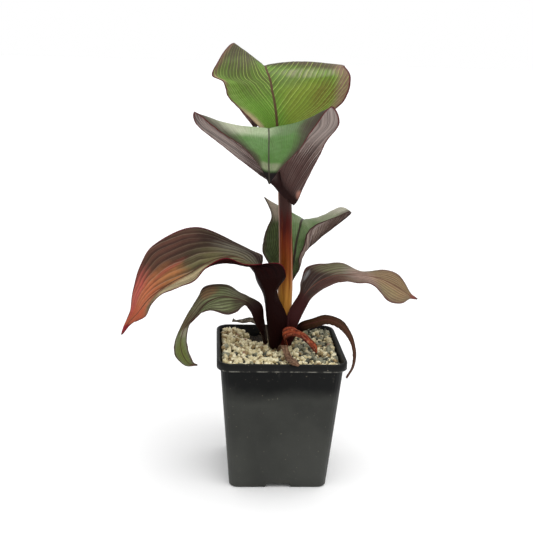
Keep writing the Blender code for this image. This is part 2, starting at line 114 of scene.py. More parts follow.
# Gravel topping
MIX_LEVEL = 112.0
MIX_HOLLOW = 9.0
GRAVEL_SEED = 41
GRAVEL_HALF = 53.0             # half side of the square that the stones fill
GRAVEL_STEP = 4.5              # distance between neighbouring stones
GRAVEL_JITTER = 1.6
GRAVEL_LAYERS = ((-2.8, 0.0), (0.2, 0.0), (1.6, 0.25))  # rise over the mix, share left out
WALL_HALF = 51.2               # half side of the pot's inner wall at the gravel's level
WALL_LEAN = 0.2                # how much that grows with each mm of height
WALL_CORNER = 9.0              # radius of the wall's inner corners
HOLLOW_AT = (-18.0, 40.0)      # middle of the dark hollow at the back left
HOLLOW_REACH = 12.0
HOLLOW_FILL = 20.0             # how far from its middle the lowest layer of stones goes
BARE_AT = (-21.0, 45.0)        # where no stones lie, at the hollow's far side
BARE_REACH = 8.0
BARE_GROWTH = 3.0              # added to that for each layer up
GRAVEL_HEAP = 2.8              # extra height of the stones along the rim
GREY_FROM = (16.0, -36.0)      # grey stones gather to the right of and behind this
BEFORE_STEM = (2.0, -30.0)     # and, fewer, round this
BEFORE_REACH = 10.0
BROWN_FROM = (-8.0, 22.0)      # brown ones gather to the left of and behind this
STONE_SHAPES = 9               # shapes of each kind
STONE_TRIES = 8                # steps towards the middle before a stone is left out
STONE_STEP = 0.985
STONE_ROUGH = 0.55             # how much noise shapes a stone


def srgb(red, green, blue):
    """A colour given as the 0 to 255 numbers of a paint chart, as linear light."""
    parts = []
    for part in (red / 255, green / 255, blue / 255):
        parts.append(part / 12.92 if part <= 0.04045 else ((part + 0.055) / 1.055) ** 2.4)
    return (*parts, 1.0)


# ---------------------------------------------------------------- material nodes

class Finish:
    """A material under construction: short calls that add and link shader nodes."""

    def __init__(self, name):
        self.surface = bpy.data.materials.new(name)
        self.surface.use_nodes = True
        self.tree = self.surface.node_tree
        self.shader = self.tree.nodes["Principled BSDF"]

    def link(self, value, socket):
        if isinstance(value, bpy.types.NodeSocket):
            self.tree.links.new(value, socket)
        elif isinstance(value, (int, float)) and hasattr(socket.default_value, "__len__"):
            socket.default_value = [value] * len(socket.default_value)
        else:
            socket.default_value = value

    def node(self, kind, inputs, **settings):
        """Adds a node and returns its first output."""
        made = self.tree.nodes.new(kind)
        for key, value in settings.items():
            setattr(made, key, value)
        for key, value in inputs.items():
            self.link(value, made.inputs[key])
        return made.outputs[0]

    def split(self, vector):
        """A vector's three parts."""
        made = self.tree.nodes.new("ShaderNodeSeparateXYZ")
        self.link(vector, made.inputs[0])
        return made.outputs

    def math(self, operation, *values):
        return self.node("ShaderNodeMath", dict(enumerate(values)), operation=operation)

    def times(self, first, second):
        return self.math("MULTIPLY", first, second)

    def scaled(self, value, factor, start):
        """Start plus value times factor."""
        return self.math("MULTIPLY_ADD", value, factor, start)

    def swayed(self, value, cloud, amount):
        """Value moved up and down with a noise, by amount in all."""
        return self.scaled(self.math("SUBTRACT", cloud, 0.5), amount, value)

    def span(self, value, low, high, to_low, to_high):
        """Value carried smoothly from low..high to to_low..to_high, held at both ends."""
        inputs = dict(enumerate((value, low, high, to_low, to_high)))
        return self.node("ShaderNodeMapRange", inputs, interpolation_type="SMOOTHSTEP")

    def rise(self, value, low, high, top=1.0):
        return self.span(value, low, high, 0.0, top)

    def fall(self, value, low, high, top=1.0):
        return self.span(value, low, high, top, 0.0)

    def coat(self, color, *layers):
        """Colour with each layer's tint laid over it by the layer's share."""
        for share, tint in layers:
            made = self.tree.nodes.new("ShaderNodeMix")
            made.data_type = "RGBA"
            for place, value in ((0, share), (6, color), (7, tint)):
                self.link(srgb(*value) if isinstance(value, tuple) else value, made.inputs[place])
            color = made.outputs[2]
        return color

    def uv(self, name):
        """A UV map of the piece, whole and as its two parts."""
        made = self.node("ShaderNodeUVMap", {}, uv_map=name)
        return (made, *self.split(made)[:2])

    def place(self):
        return self.tree.nodes.new("ShaderNodeTexCoord").outputs["Object"]

    def noise(self, vector, scale, detail, roughness, stretch=None):
        if stretch is not None:
            vector = self.node("ShaderNodeMapping", {"Vector": vector, "Scale": stretch})
        return self.node("ShaderNodeTexNoise", {
            "Vector": vector, "Scale": scale, "Detail": detail, "Roughness": roughness,
        })

    def bump(self, height, strength, distance, *below):
        inputs = {"Strength": strength, "Distance": distance, "Height": height}
        return self.node("ShaderNodeBump", inputs | {"Normal": normal for normal in below})

    def done(self, color, roughness, specular=0.5, **sockets):
        """Links what is painted to the shader and returns the material."""
        self.shader.inputs["Specular IOR Level"].default_value = specular
        for name, value in {"Base Color": color, "Roughness": roughness, **sockets}.items():
            self.link(value, self.shader.inputs[name])
        return self.surface

    def ridge(self, phase, width):
        """1 on each whole number of phase, falling to 0 at a share of the spacing."""
        return self.fall(self.math("PINGPONG", phase, 0.5), 0.0, width * 0.5)


class BladeFinish(Finish):
    """What both faces of a blade are painted by: its place, its veins and its streaks."""

    def __init__(self, name, look, vein_width):
        super().__init__(name)
        self.look = look
        _, u, self.v = self.uv("blade")
        skin, reach, _ = self.uv("surface")
        self.reach = self.math("ABSOLUTE", reach)
        self.side = self.scaled(u, 2.0, -1.0)
        self.across = self.math("ABSOLUTE", self.side)
        past_stalk = self.math("SUBTRACT", self.v, STALK_SPAN)
        self.along = self.math("DIVIDE", past_stalk, 1.0 - STALK_SPAN)
        self.cloud = self.noise(skin, 3.5, 4.0, 0.55)
        self.grain = self.noise(skin, 30.0, 3.0, 0.6)

        # Side veins sweep forward from the rib and bend to the tip; phase counts them
        veins = look["veins"]
        sweep = self.scaled(self.across, veins["bend"], veins["sweep"])
        place = self.math("SUBTRACT", self.along, self.times(self.across, sweep))
        self.phase = self.swayed(self.times(place, veins["count"]), self.cloud, 0.9)
        flow = self.node("ShaderNodeCombineXYZ", {0: self.phase, 1: self.side})
        self.streak = self.noise(flow, 1.3, 3.0, 0.65, (1.0, 1.4, 1.0))
        self.hair = self.noise(flow, 7.0, 2.0, 0.6, (1.0, 0.25, 1.0))
        self.wander = self.swayed(self.swayed(-0.05, self.cloud, 0.6), self.streak, 0.5)

        # A strength for each vein in turn, so that no two look the same
        number = self.math("ROUND", self.phase)
        luck = self.node("ShaderNodeTexWhiteNoise", {"W": number}, noise_dimensions="1D")
        strength = self.scaled(luck, 1.0 - VEIN_LEAST, VEIN_LEAST)
        self.vein = self.times(self.ridge(self.phase, vein_width), strength)
        self.fine = self.ridge(self.times(self.phase, 5.0), 0.8)

    def folds(self):
        """The layer of painted shade on the ridges between side veins, from light down to dark."""
        part = self.math("FRACT", self.phase)
        dark = self.times(self.rise(part, 0.25, 0.85), self.fall(part, 0.92, 1.0))
        dark = self.times(dark, self.span(self.cloud, 0.25, 0.6, 0.4, 1.0))
        dark = self.times(dark, self.span(self.along, 0.55, 0.85, 1.0, self.look["fold_shade_tip"]))
        return self.times(dark, self.look["fold_shade_share"]), self.look["fold_shade"]

    def zone(self, along, side, half_along, half_side, tint, share, streaky):
        """The layer of a soft patch, drawn out along the veins by its streaky share."""
        far = self.math("DIVIDE", self.math("SUBTRACT", self.along, along), half_along)
        wide = self.math("DIVIDE", self.math("SUBTRACT", self.side, side), half_side)
        spread = self.math("SQRT", self.scaled(far, far, self.times(wide, wide)))
        patch = self.fall(self.math("ADD", spread, self.wander), 0.45, 1.15, share)
        lines = self.span(self.streak, 0.38, 0.62, 1.0 - streaky, 1.0)
        return self.times(patch, lines), tint

    def stalk(self, fade):
        return self.fall(self.v, STALK_SPAN * 0.85, STALK_SPAN * fade), self.look["stalk"]

    def relief(self, fine, vein, strength, distance):
        """Raised fine veins and side veins, with grain and hair lines over them."""
        height = self.scaled(self.fine, fine, self.times(self.vein, vein))
        height = self.scaled(self.grain, 0.4, height)
        return self.bump(self.scaled(self.hair, 0.8, height), strength, distance)


def leaf_upper(name, look):
    """Upper face of a blade: its ground colour, zones, margins, side veins and midrib."""
    paint = BladeFinish(name, look, look["vein_width"])
    between = paint.rise(paint.math("PINGPONG", paint.phase, 0.5), 0.1, 0.4)
    streaks = paint.rise(paint.streak, 0.4, 0.65, look["band_share"])
    edge = paint.rise(paint.swayed(paint.across, paint.streak, 0.3), look["edge_from"], 1.0)
    shown = paint.times(paint.vein, paint.scaled(edge, -0.7, 1.0))
    reached = paint.swayed(paint.along, paint.streak, TIP_BLUR)
    rib_half = paint.scaled(paint.along, -0.5 * look["rib_half"], look["rib_half"])
    rib = paint.fall(paint.reach, rib_half, paint.times(rib_half, 1.6))
    color = paint.coat(
        look["green"],
        (paint.rise(paint.cloud, 0.3, 0.7), look["green_light"]),
        (paint.times(between, streaks), look["band"]),
        *(paint.zone(*zone) for zone in look["zones"]),
        paint.folds(),
        (paint.times(edge, look["edge_share"]), look["edge"]),
        (paint.times(shown, look["vein_share"]), look["vein"]),
        (paint.rise(paint.hair, 0.5, 0.75, look["hair_share"]), look["band"]),
        (paint.times(paint.fine, 0.06), look["vein"]),
        (paint.rise(paint.grain, 0.4, 0.75, 0.14), look["band"]),
        (paint.rise(reached, look["tip_from"], look["tip_from"] + TIP_BLUR), look["tip"]),
        (paint.times(rib, 0.92), look["rib"]),
        (paint.rise(paint.across, 0.97, 0.99), look["margin"]),
        paint.stalk(1.25),
    )
    rough = paint.scaled(paint.grain, 0.2, look["gloss"])
    return paint.done(color, rough, look["shine"], Normal=paint.relief(0.25, 0.8, 0.35, 0.0003))


def leaf_under(name, look):
    """Underside of a blade: mauve brown with a pale bloom and raised side veins."""
    paint = BladeFinish(name, look, 0.45)
    color = paint.coat(
        look["under"],
        (paint.rise(paint.cloud, 0.3, 0.7), look["under_light"]),
        (paint.fall(paint.streak, 0.36, 0.62, 0.9), look["under_dark"]),
        (paint.times(paint.vein, look["under_share"]), look["under_vein"]),
        (paint.rise(paint.hair, 0.48, 0.7, 0.6), look["under_dark"]),
        (paint.fall(paint.along, 0.0, 0.3, 0.7), look["under_dark"]),
        *(paint.zone(*zone) for zone in look["under_zones"]),
        (paint.fall(paint.reach, 0.02, 0.045, 0.85), look["stalk"]),
        (paint.rise(paint.across, 0.965, 0.99), look["margin"]),
        paint.stalk(1.35),
    )
    rough = paint.scaled(paint.grain, 0.15, look["gloss"])
    normal = paint.relief(0.3, 1.0, 0.45, 0.00035)
    return paint.done(color, rough, 0.6 * look["shine"], Normal=normal)


def withered_skin(name, look):
    """Dry leaf: brown and rust, with creases along it, dark blotches and painted shade along one
    half.
    """
    paint = Finish(name)
    skin, reach, _ = paint.uv("surface")
    cloud = paint.noise(skin, 14.0, 4.0, 0.6)
    streak = paint.noise(skin, 60.0, 3.0, 0.6, (1.0, 0.12, 1.0))
    patch = paint.noise(skin, 45.0, 3.0, 0.6)
    color = paint.coat(
        look["dry"],
        (paint.rise(cloud, 0.3, 0.7), look["dry_light"]),
        (paint.rise(streak, 0.42, 0.62, 0.8), look["dry_dark_and_shade"]),
        (paint.rise(patch, 0.5, 0.68, 0.75), look["dry_dark_and_shade"]),
        (paint.fall(patch, 0.3, 0.42, 0.6), look["dry_pale"]),
        # painted shade: one half of the strap darkened by its shaded share
        (paint.fall(reach, -0.05, 0.02, look["shaded"]), look["dry_dark_and_shade"]),
    )
    rough = paint.span(cloud, 0.2, 0.8, 0.55, 0.8)
    return paint.done(color, rough, 0.15, Normal=paint.bump(streak, 0.7, 0.0006))


def pot_plastic():
    """Black satin plastic with fine moulding grain, faint scuffs and a little dust, painted shade
    under the rim, a painted reflection of the floor towards the foot, and a pale line along the
    rim's lower edge that is part scuffs, part painted highlight.
    """
    paint = Finish("pot_plastic")
    place = paint.place()
    grain = paint.noise(place, 900.0, 2.0, 0.5)
    cloud = paint.noise(place, 22.0, 4.0, 0.6)
    scuff = paint.noise(place, 160.0, 5.0, 0.75, (1.0, 1.0, 0.25))
    dust = paint.noise(place, 620.0, 1.0, 0.4)
    right, back, height = paint.split(place)
    out = paint.math("MAXIMUM", paint.math("ABSOLUTE", right), paint.math("ABSOLUTE", back))
    off_edge = paint.math("PINGPONG", paint.math("SUBTRACT", height, RIM_LOW), 1.0)
    # the line along the rim's lower edge: partly scuffs, partly a painted highlight
    worn_and_glint = paint.times(paint.fall(off_edge, 0.0, WORN_GLINT_WIDTH), paint.rise(scuff, 0.4, 0.6))
    worn_and_glint = paint.times(worn_and_glint, paint.rise(out, NECK_HALF, NECK_HALF + 0.0006))
    color = paint.coat(
        (50, 51, 48),
        (paint.rise(cloud, 0.3, 0.7), (61, 62, 58)),
        # painted shade: the body just under the rim darkened
        (paint.rise(paint.swayed(height, cloud, 0.03), 0.082, 0.102), (10, 11, 11)),
        (paint.rise(height, RIM_LOW - 0.001, RIM_LOW), (18, 18, 17)),
        (paint.rise(scuff, 0.62, 0.75, 0.5), (92, 91, 84)),
        (paint.rise(dust, 0.74, 0.80, 0.6), (130, 124, 108)),
        (paint.times(worn_and_glint, 0.6), (150, 148, 138)),
        # painted reflection of the floor: the body lighter towards its foot
        (paint.fall(height, 0.0, 0.08, 0.3), (78, 79, 75)),
    )
    normal = paint.bump(scuff, 0.12, 0.0003, paint.bump(grain, 0.12, 0.0002))
    return paint.done(color, paint.scaled(cloud, 0.16, 0.38), 0.13, Normal=normal)


def stone_skin(name, dark, light, fleck, pitted):
    """Stone: mottled, flecked and rough, with pits where it is pumice."""
    paint = Finish(name)
    place = paint.place()
    mottle = paint.noise(place, 240.0, 4.0, 0.6)
    speck = paint.noise(place, 1500.0, 2.0, 0.6)
    color = paint.coat(
        dark,
        (paint.rise(mottle, 0.3, 0.7), light),
        (paint.rise(speck, 0.58, 0.68, 0.75), fleck),
    )
    normal = paint.bump(mottle, 0.5, 0.0008, paint.bump(speck, pitted, 0.0006))
    return paint.done(color, 0.88, Normal=normal)


def mix_skin():
    """The grit under the stones: dark, damp and granular."""
    paint = Finish("damp_grit")
    place = paint.place()
    grain = paint.noise(place, 520.0, 4.0, 0.7)
    lumps = paint.noise(place, 130.0, 3.0, 0.6)
    color = paint.coat((22, 18, 13), (paint.rise(grain, 0.35, 0.7), (60, 50, 36)))
    normal = paint.bump(lumps, 0.8, 0.002, paint.bump(grain, 0.8, 0.001))
    return paint.done(color, 0.92, Normal=normal)


def stem_skin():
    """Leaf sheaths: burgundy at the foot, amber, then rust and dark maroon at the top, with pale
    lines near the sides that are partly sheath margins and partly painted highlight.
    """
    paint = Finish("stem_sheath")
    place = paint.place()
    right, back, height = paint.split(place)
    streak = paint.noise(place, 420.0, 4.0, 0.6, (1.0, 1.0, 0.04))
    level = paint.swayed(height, streak, 0.03)
    right = paint.math("SUBTRACT", right, STEM_MIDDLE[0])
    back = paint.math("SUBTRACT", back, STEM_MIDDLE[1])
    angle = paint.math("ARCTAN2", back, right)
    # pale lines near the stem's sides: partly sheath margins, partly painted highlight
    pale = []
    for turn, share in STEM_LINES:
        away = paint.math("ABSOLUTE", paint.math("SUBTRACT", angle, turn))
        shown = paint.times(paint.fall(away, 0.04, 0.16, share), paint.rise(height, 0.15, 0.19))
        pale.append((shown, (196, 142, 112)))
    color = paint.coat(
        (64, 18, 12),
        (paint.rise(level, 0.124, 0.146), (170, 116, 46)),
        (paint.rise(level, 0.160, 0.188), (128, 66, 24)),
        (paint.rise(level, 0.188, 0.214), (104, 38, 12)),
        (paint.rise(level, 0.208, 0.228), (66, 14, 6)),
        (paint.rise(level, 0.228, 0.246), (60, 38, 34)),
        (paint.rise(streak, 0.45, 0.75, 0.45), (40, 14, 10)),
        (paint.fall(streak, 0.25, 0.4, 0.3), (186, 130, 84)),
        *pale,
    )
    rough = paint.span(streak, 0.2, 0.8, 0.32, 0.5)
    return paint.done(color, rough, 0.08, Normal=paint.bump(streak, 0.35, 0.0004))


# ---------------------------------------------------------------- curves

def smooth_curve(keys, at, places):
    """A smooth curve through keys that stand at the given places along it."""
    slopes = np.gradient(keys, at, axis=0)
    first = np.clip(np.searchsorted(at, places, side="right") - 1, 0, len(at) - 2)
    gap = (at[first + 1] - at[first])[:, None]
    part = (places - at[first])[:, None] / gap
    square, cube = part ** 2, part ** 3
    curve = (2 * cube - 3 * square + 1) * keys[first] + (3 * square - 2 * cube) * keys[first + 1]
    curve += (cube - 2 * square + part) * gap * slopes[first]
    return curve + (cube - square) * gap * slopes[first + 1]


def unit(vectors):
    """Vectors scaled to a length of 1."""
    return vectors / np.maximum(np.linalg.norm(vectors, axis=-1), 1e-9)[..., None]


def stem_centre(height):
    """The stem's middle at a height, or at each height of an array."""
    share = np.clip((np.ravel(height) - STEM_FOOT) / (STEM_TOP - STEM_FOOT), 0.0, 1.0)
    return smooth_curve(np.array(STEM_AXIS), STEM_AXIS_AT, share).reshape(*np.shape(height), 2)


def stem_radius(height):
    """The plain stem's radius at a height, without its sheaths' steps."""
    rise = height - STEM_FOOT
    share = rise / (STEM_TOP - STEM_FOOT)
    upper = STEM_RADIUS_TOP + STEM_TAPER * (1.0 - share)
    return upper + (STEM_RADIUS_FOOT - STEM_RADIUS_TOP - STEM_TAPER) * np.exp(-rise / STEM_FLARE)


# ---------------------------------------------------------------- leaf shapes

def leaf_surface(stations, leaf, rows, cells):
    """Upper face of a leaf as a grid of points, and where each lies in the leaf's pattern.

    The rib and both margins are smooth curves through the stations, and each half is a
    strip between rib and margin that bows towards the upper side by its bow.
    """
    table = [row if len(row) > 9 else (*row, 0, 0) for row in stations]
    rib, left, right, bows = np.split(np.array(table, dtype=float), (3, 6, 9), axis=1)
    steps = np.linalg.norm(np.diff(rib, axis=0), axis=1)
    at = np.concatenate([[0.0], np.cumsum(steps)]) / steps.sum()
    share = np.linspace(0.0, 1.0, rows + 1)
    points = smooth_curve(rib, at, share)
    bow = smooth_curve(bows, at, share)
    ahead = unit(np.gradient(points, axis=0))
    start = at[leaf["blade_from"]]
    blade = np.clip((share - start) / (1.0 - start), 0.0, 1.0)
    grid = np.zeros((rows + 1, 2 * cells + 1, 3))
    reach = np.zeros((rows + 1, 2 * cells + 1))
    for sign, margin, k in ((1, left, 0), (-1, right, 1)):
        span = smooth_curve(margin, at, share)
        width = np.linalg.norm(span, axis=1)
        upward = unit(sign * np.cross(ahead, span))
        for cell in range(cells + 1):
            part = cell / cells
            lift = bow[:, k] * math.sin(math.pi * part ** leaf["bow_reach"])
            column = cells + sign * cell
            grid[:, column] = points + part * span + lift[:, None] * upward
            reach[:, column] = sign * width * part
    on_stalk = STALK_SPAN * share / start
    along = np.where(blade > 0, STALK_SPAN + (1.0 - STALK_SPAN) * blade, on_stalk)
    return grid, blade, along, reach, share * steps.sum()


def facing_up(grid):
    """At each point of a grid, the direction straight out of its upper face."""
    return unit(np.cross(np.gradient(grid, axis=0), np.gradient(grid, axis=1)))


def crumple(leaf, grid, blade, reach, side):
    """Adds the groove of the rib, the pleats between side veins and wavy margins."""
    offset = np.abs(side)
    width = np.maximum(np.abs(reach[:, :1]), np.abs(reach[:, -1:]))
    blade = blade[:, None]
    fade = np.clip(width / FULL_RELIEF, 0.0, 1.0) * np.clip(blade * 8.0, 0.0, 1.0)
    veins = leaf["veins"]
    chance = random.Random(leaf["seed"])
    swell = [chance.uniform(0, 2 * math.pi) for _ in range(5)]
    drift = 0.35 * np.sin(blade * 17.0 + swell[3]) + 0.3 * np.sin(offset * 5.0 + swell[4])
    phase = (blade - offset * (veins["sweep"] + veins["bend"] * offset)) * veins["count"] + drift
    pleat = leaf["pleat"] * np.cos(2 * math.pi * phase) * np.clip(offset * 6.0, 0.0, 1.0)
    wave = np.zeros_like(reach)
    for k, (turns, size) in enumerate(WAVES):
        wave += size * np.sin(blade * turns + swell[k] + np.sign(side) * 1.7 * (k + 1))
    ripple = leaf["ruffle"] * wave * offset ** 2.5
    groove = -GROOVE_DEPTH * np.exp(-(reach / GROOVE_REACH) ** 2)
    return grid + ((pleat + ripple + groove) * fade)[..., None] * facing_up(grid)


def clear_of_stem(grid, thickness):
    """Moves what would run into the pseudostem out to its skin, level by level.

    Where the underside faces the stem, the leaf's thickness is kept clear of it too.
    """
    height = grid[..., 2]
    away = grid[..., :2] - stem_centre(height)
    reach = np.maximum(np.linalg.norm(away, axis=-1), 0.01)
    facing = np.clip((facing_up(grid)[..., :2] * away).sum(axis=-1) / reach, 0.0, 1.0)
    missing = np.clip(stem_radius(height) + STEM_GAP + thickness * facing - reach, 0.0, None)
    missing = np.where(height < STEM_TOP, missing, 0.0)
    moved = grid.copy()
    moved[..., :2] += away * (missing / reach)[..., None]
    return moved


def object_from(name, bm, surfaces):
    """An object in the scene from a bmesh, which is used up."""
    mesh = bpy.data.meshes.new(name)
    bm.to_mesh(mesh)
    bm.free()
    for surface in surfaces:
        mesh.materials.append(surface)
    piece = bpy.data.objects.new(name, mesh)
    bpy.context.scene.collection.objects.link(piece)
    return piece


def leaf_piece(name, stations, leaf, surfaces, rows, cells):
    """A leaf as a thin shell, thicker in its stalk and rib, with its pattern's UV maps."""
    grid, blade, along, reach, length = leaf_surface(stations, leaf, rows, cells)
    side = (np.arange(2 * cells + 1) - cells) / cells
    grid = crumple(leaf, grid, blade, reach, side)
    body = (1.0 - np.minimum(blade * 5.0, 1.0))[:, None] * (1.0 - np.abs(side) ** 2)
    keel = np.exp(-(reach / KEEL_REACH) ** 2) * (1.0 - blade)[:, None] * 0.5
    weights = np.maximum(body, keel)
    least = BLADE_THICK / leaf["stalk_thick"]
    thickness = leaf["stalk_thick"] * (least + (1.0 - least) * weights)
    for _ in range(2):
        grid = clear_of_stem(grid, thickness)
    bm = bmesh.new()
    bmesh.ops.create_grid(bm, x_segments=2 * cells, y_segments=rows, size=0.5)
    pattern = bm.loops.layers.uv.new("blade")
    skin = bm.loops.layers.uv.new("surface")
    cell_of = {}
    for vert in bm.verts:
        row = round((vert.co.y + 0.5) * rows)
        column = 2 * cells - round((vert.co.x + 0.5) * 2 * cells)
        vert.co = Vector(grid[row, column] * MM)
        cell_of[vert.index] = row, column
    for face in bm.faces:
        face.smooth = True
        for loop in face.loops:
            row, column = cell_of[loop.vert.index]
            loop[pattern].uv = column / (2 * cells), along[row]
            loop[skin].uv = reach[row, column] / PATTERN_UNIT, length[row] / PATTERN_UNIT
    piece = object_from(name, bm, surfaces)
    group = piece.vertex_groups.new(name="body")
    for index, cell in cell_of.items():
        group.add([index], weights[cell], "REPLACE")
    shell = piece.modifiers.new("thickness", "SOLIDIFY")
    shell.thickness = leaf["stalk_thick"] * MM
    shell.offset = -1.0
    shell.vertex_group = group.name
    shell.thickness_vertex_group = least
    shell.material_offset = shell.material_offset_rim = len(surfaces) - 1
    return piece


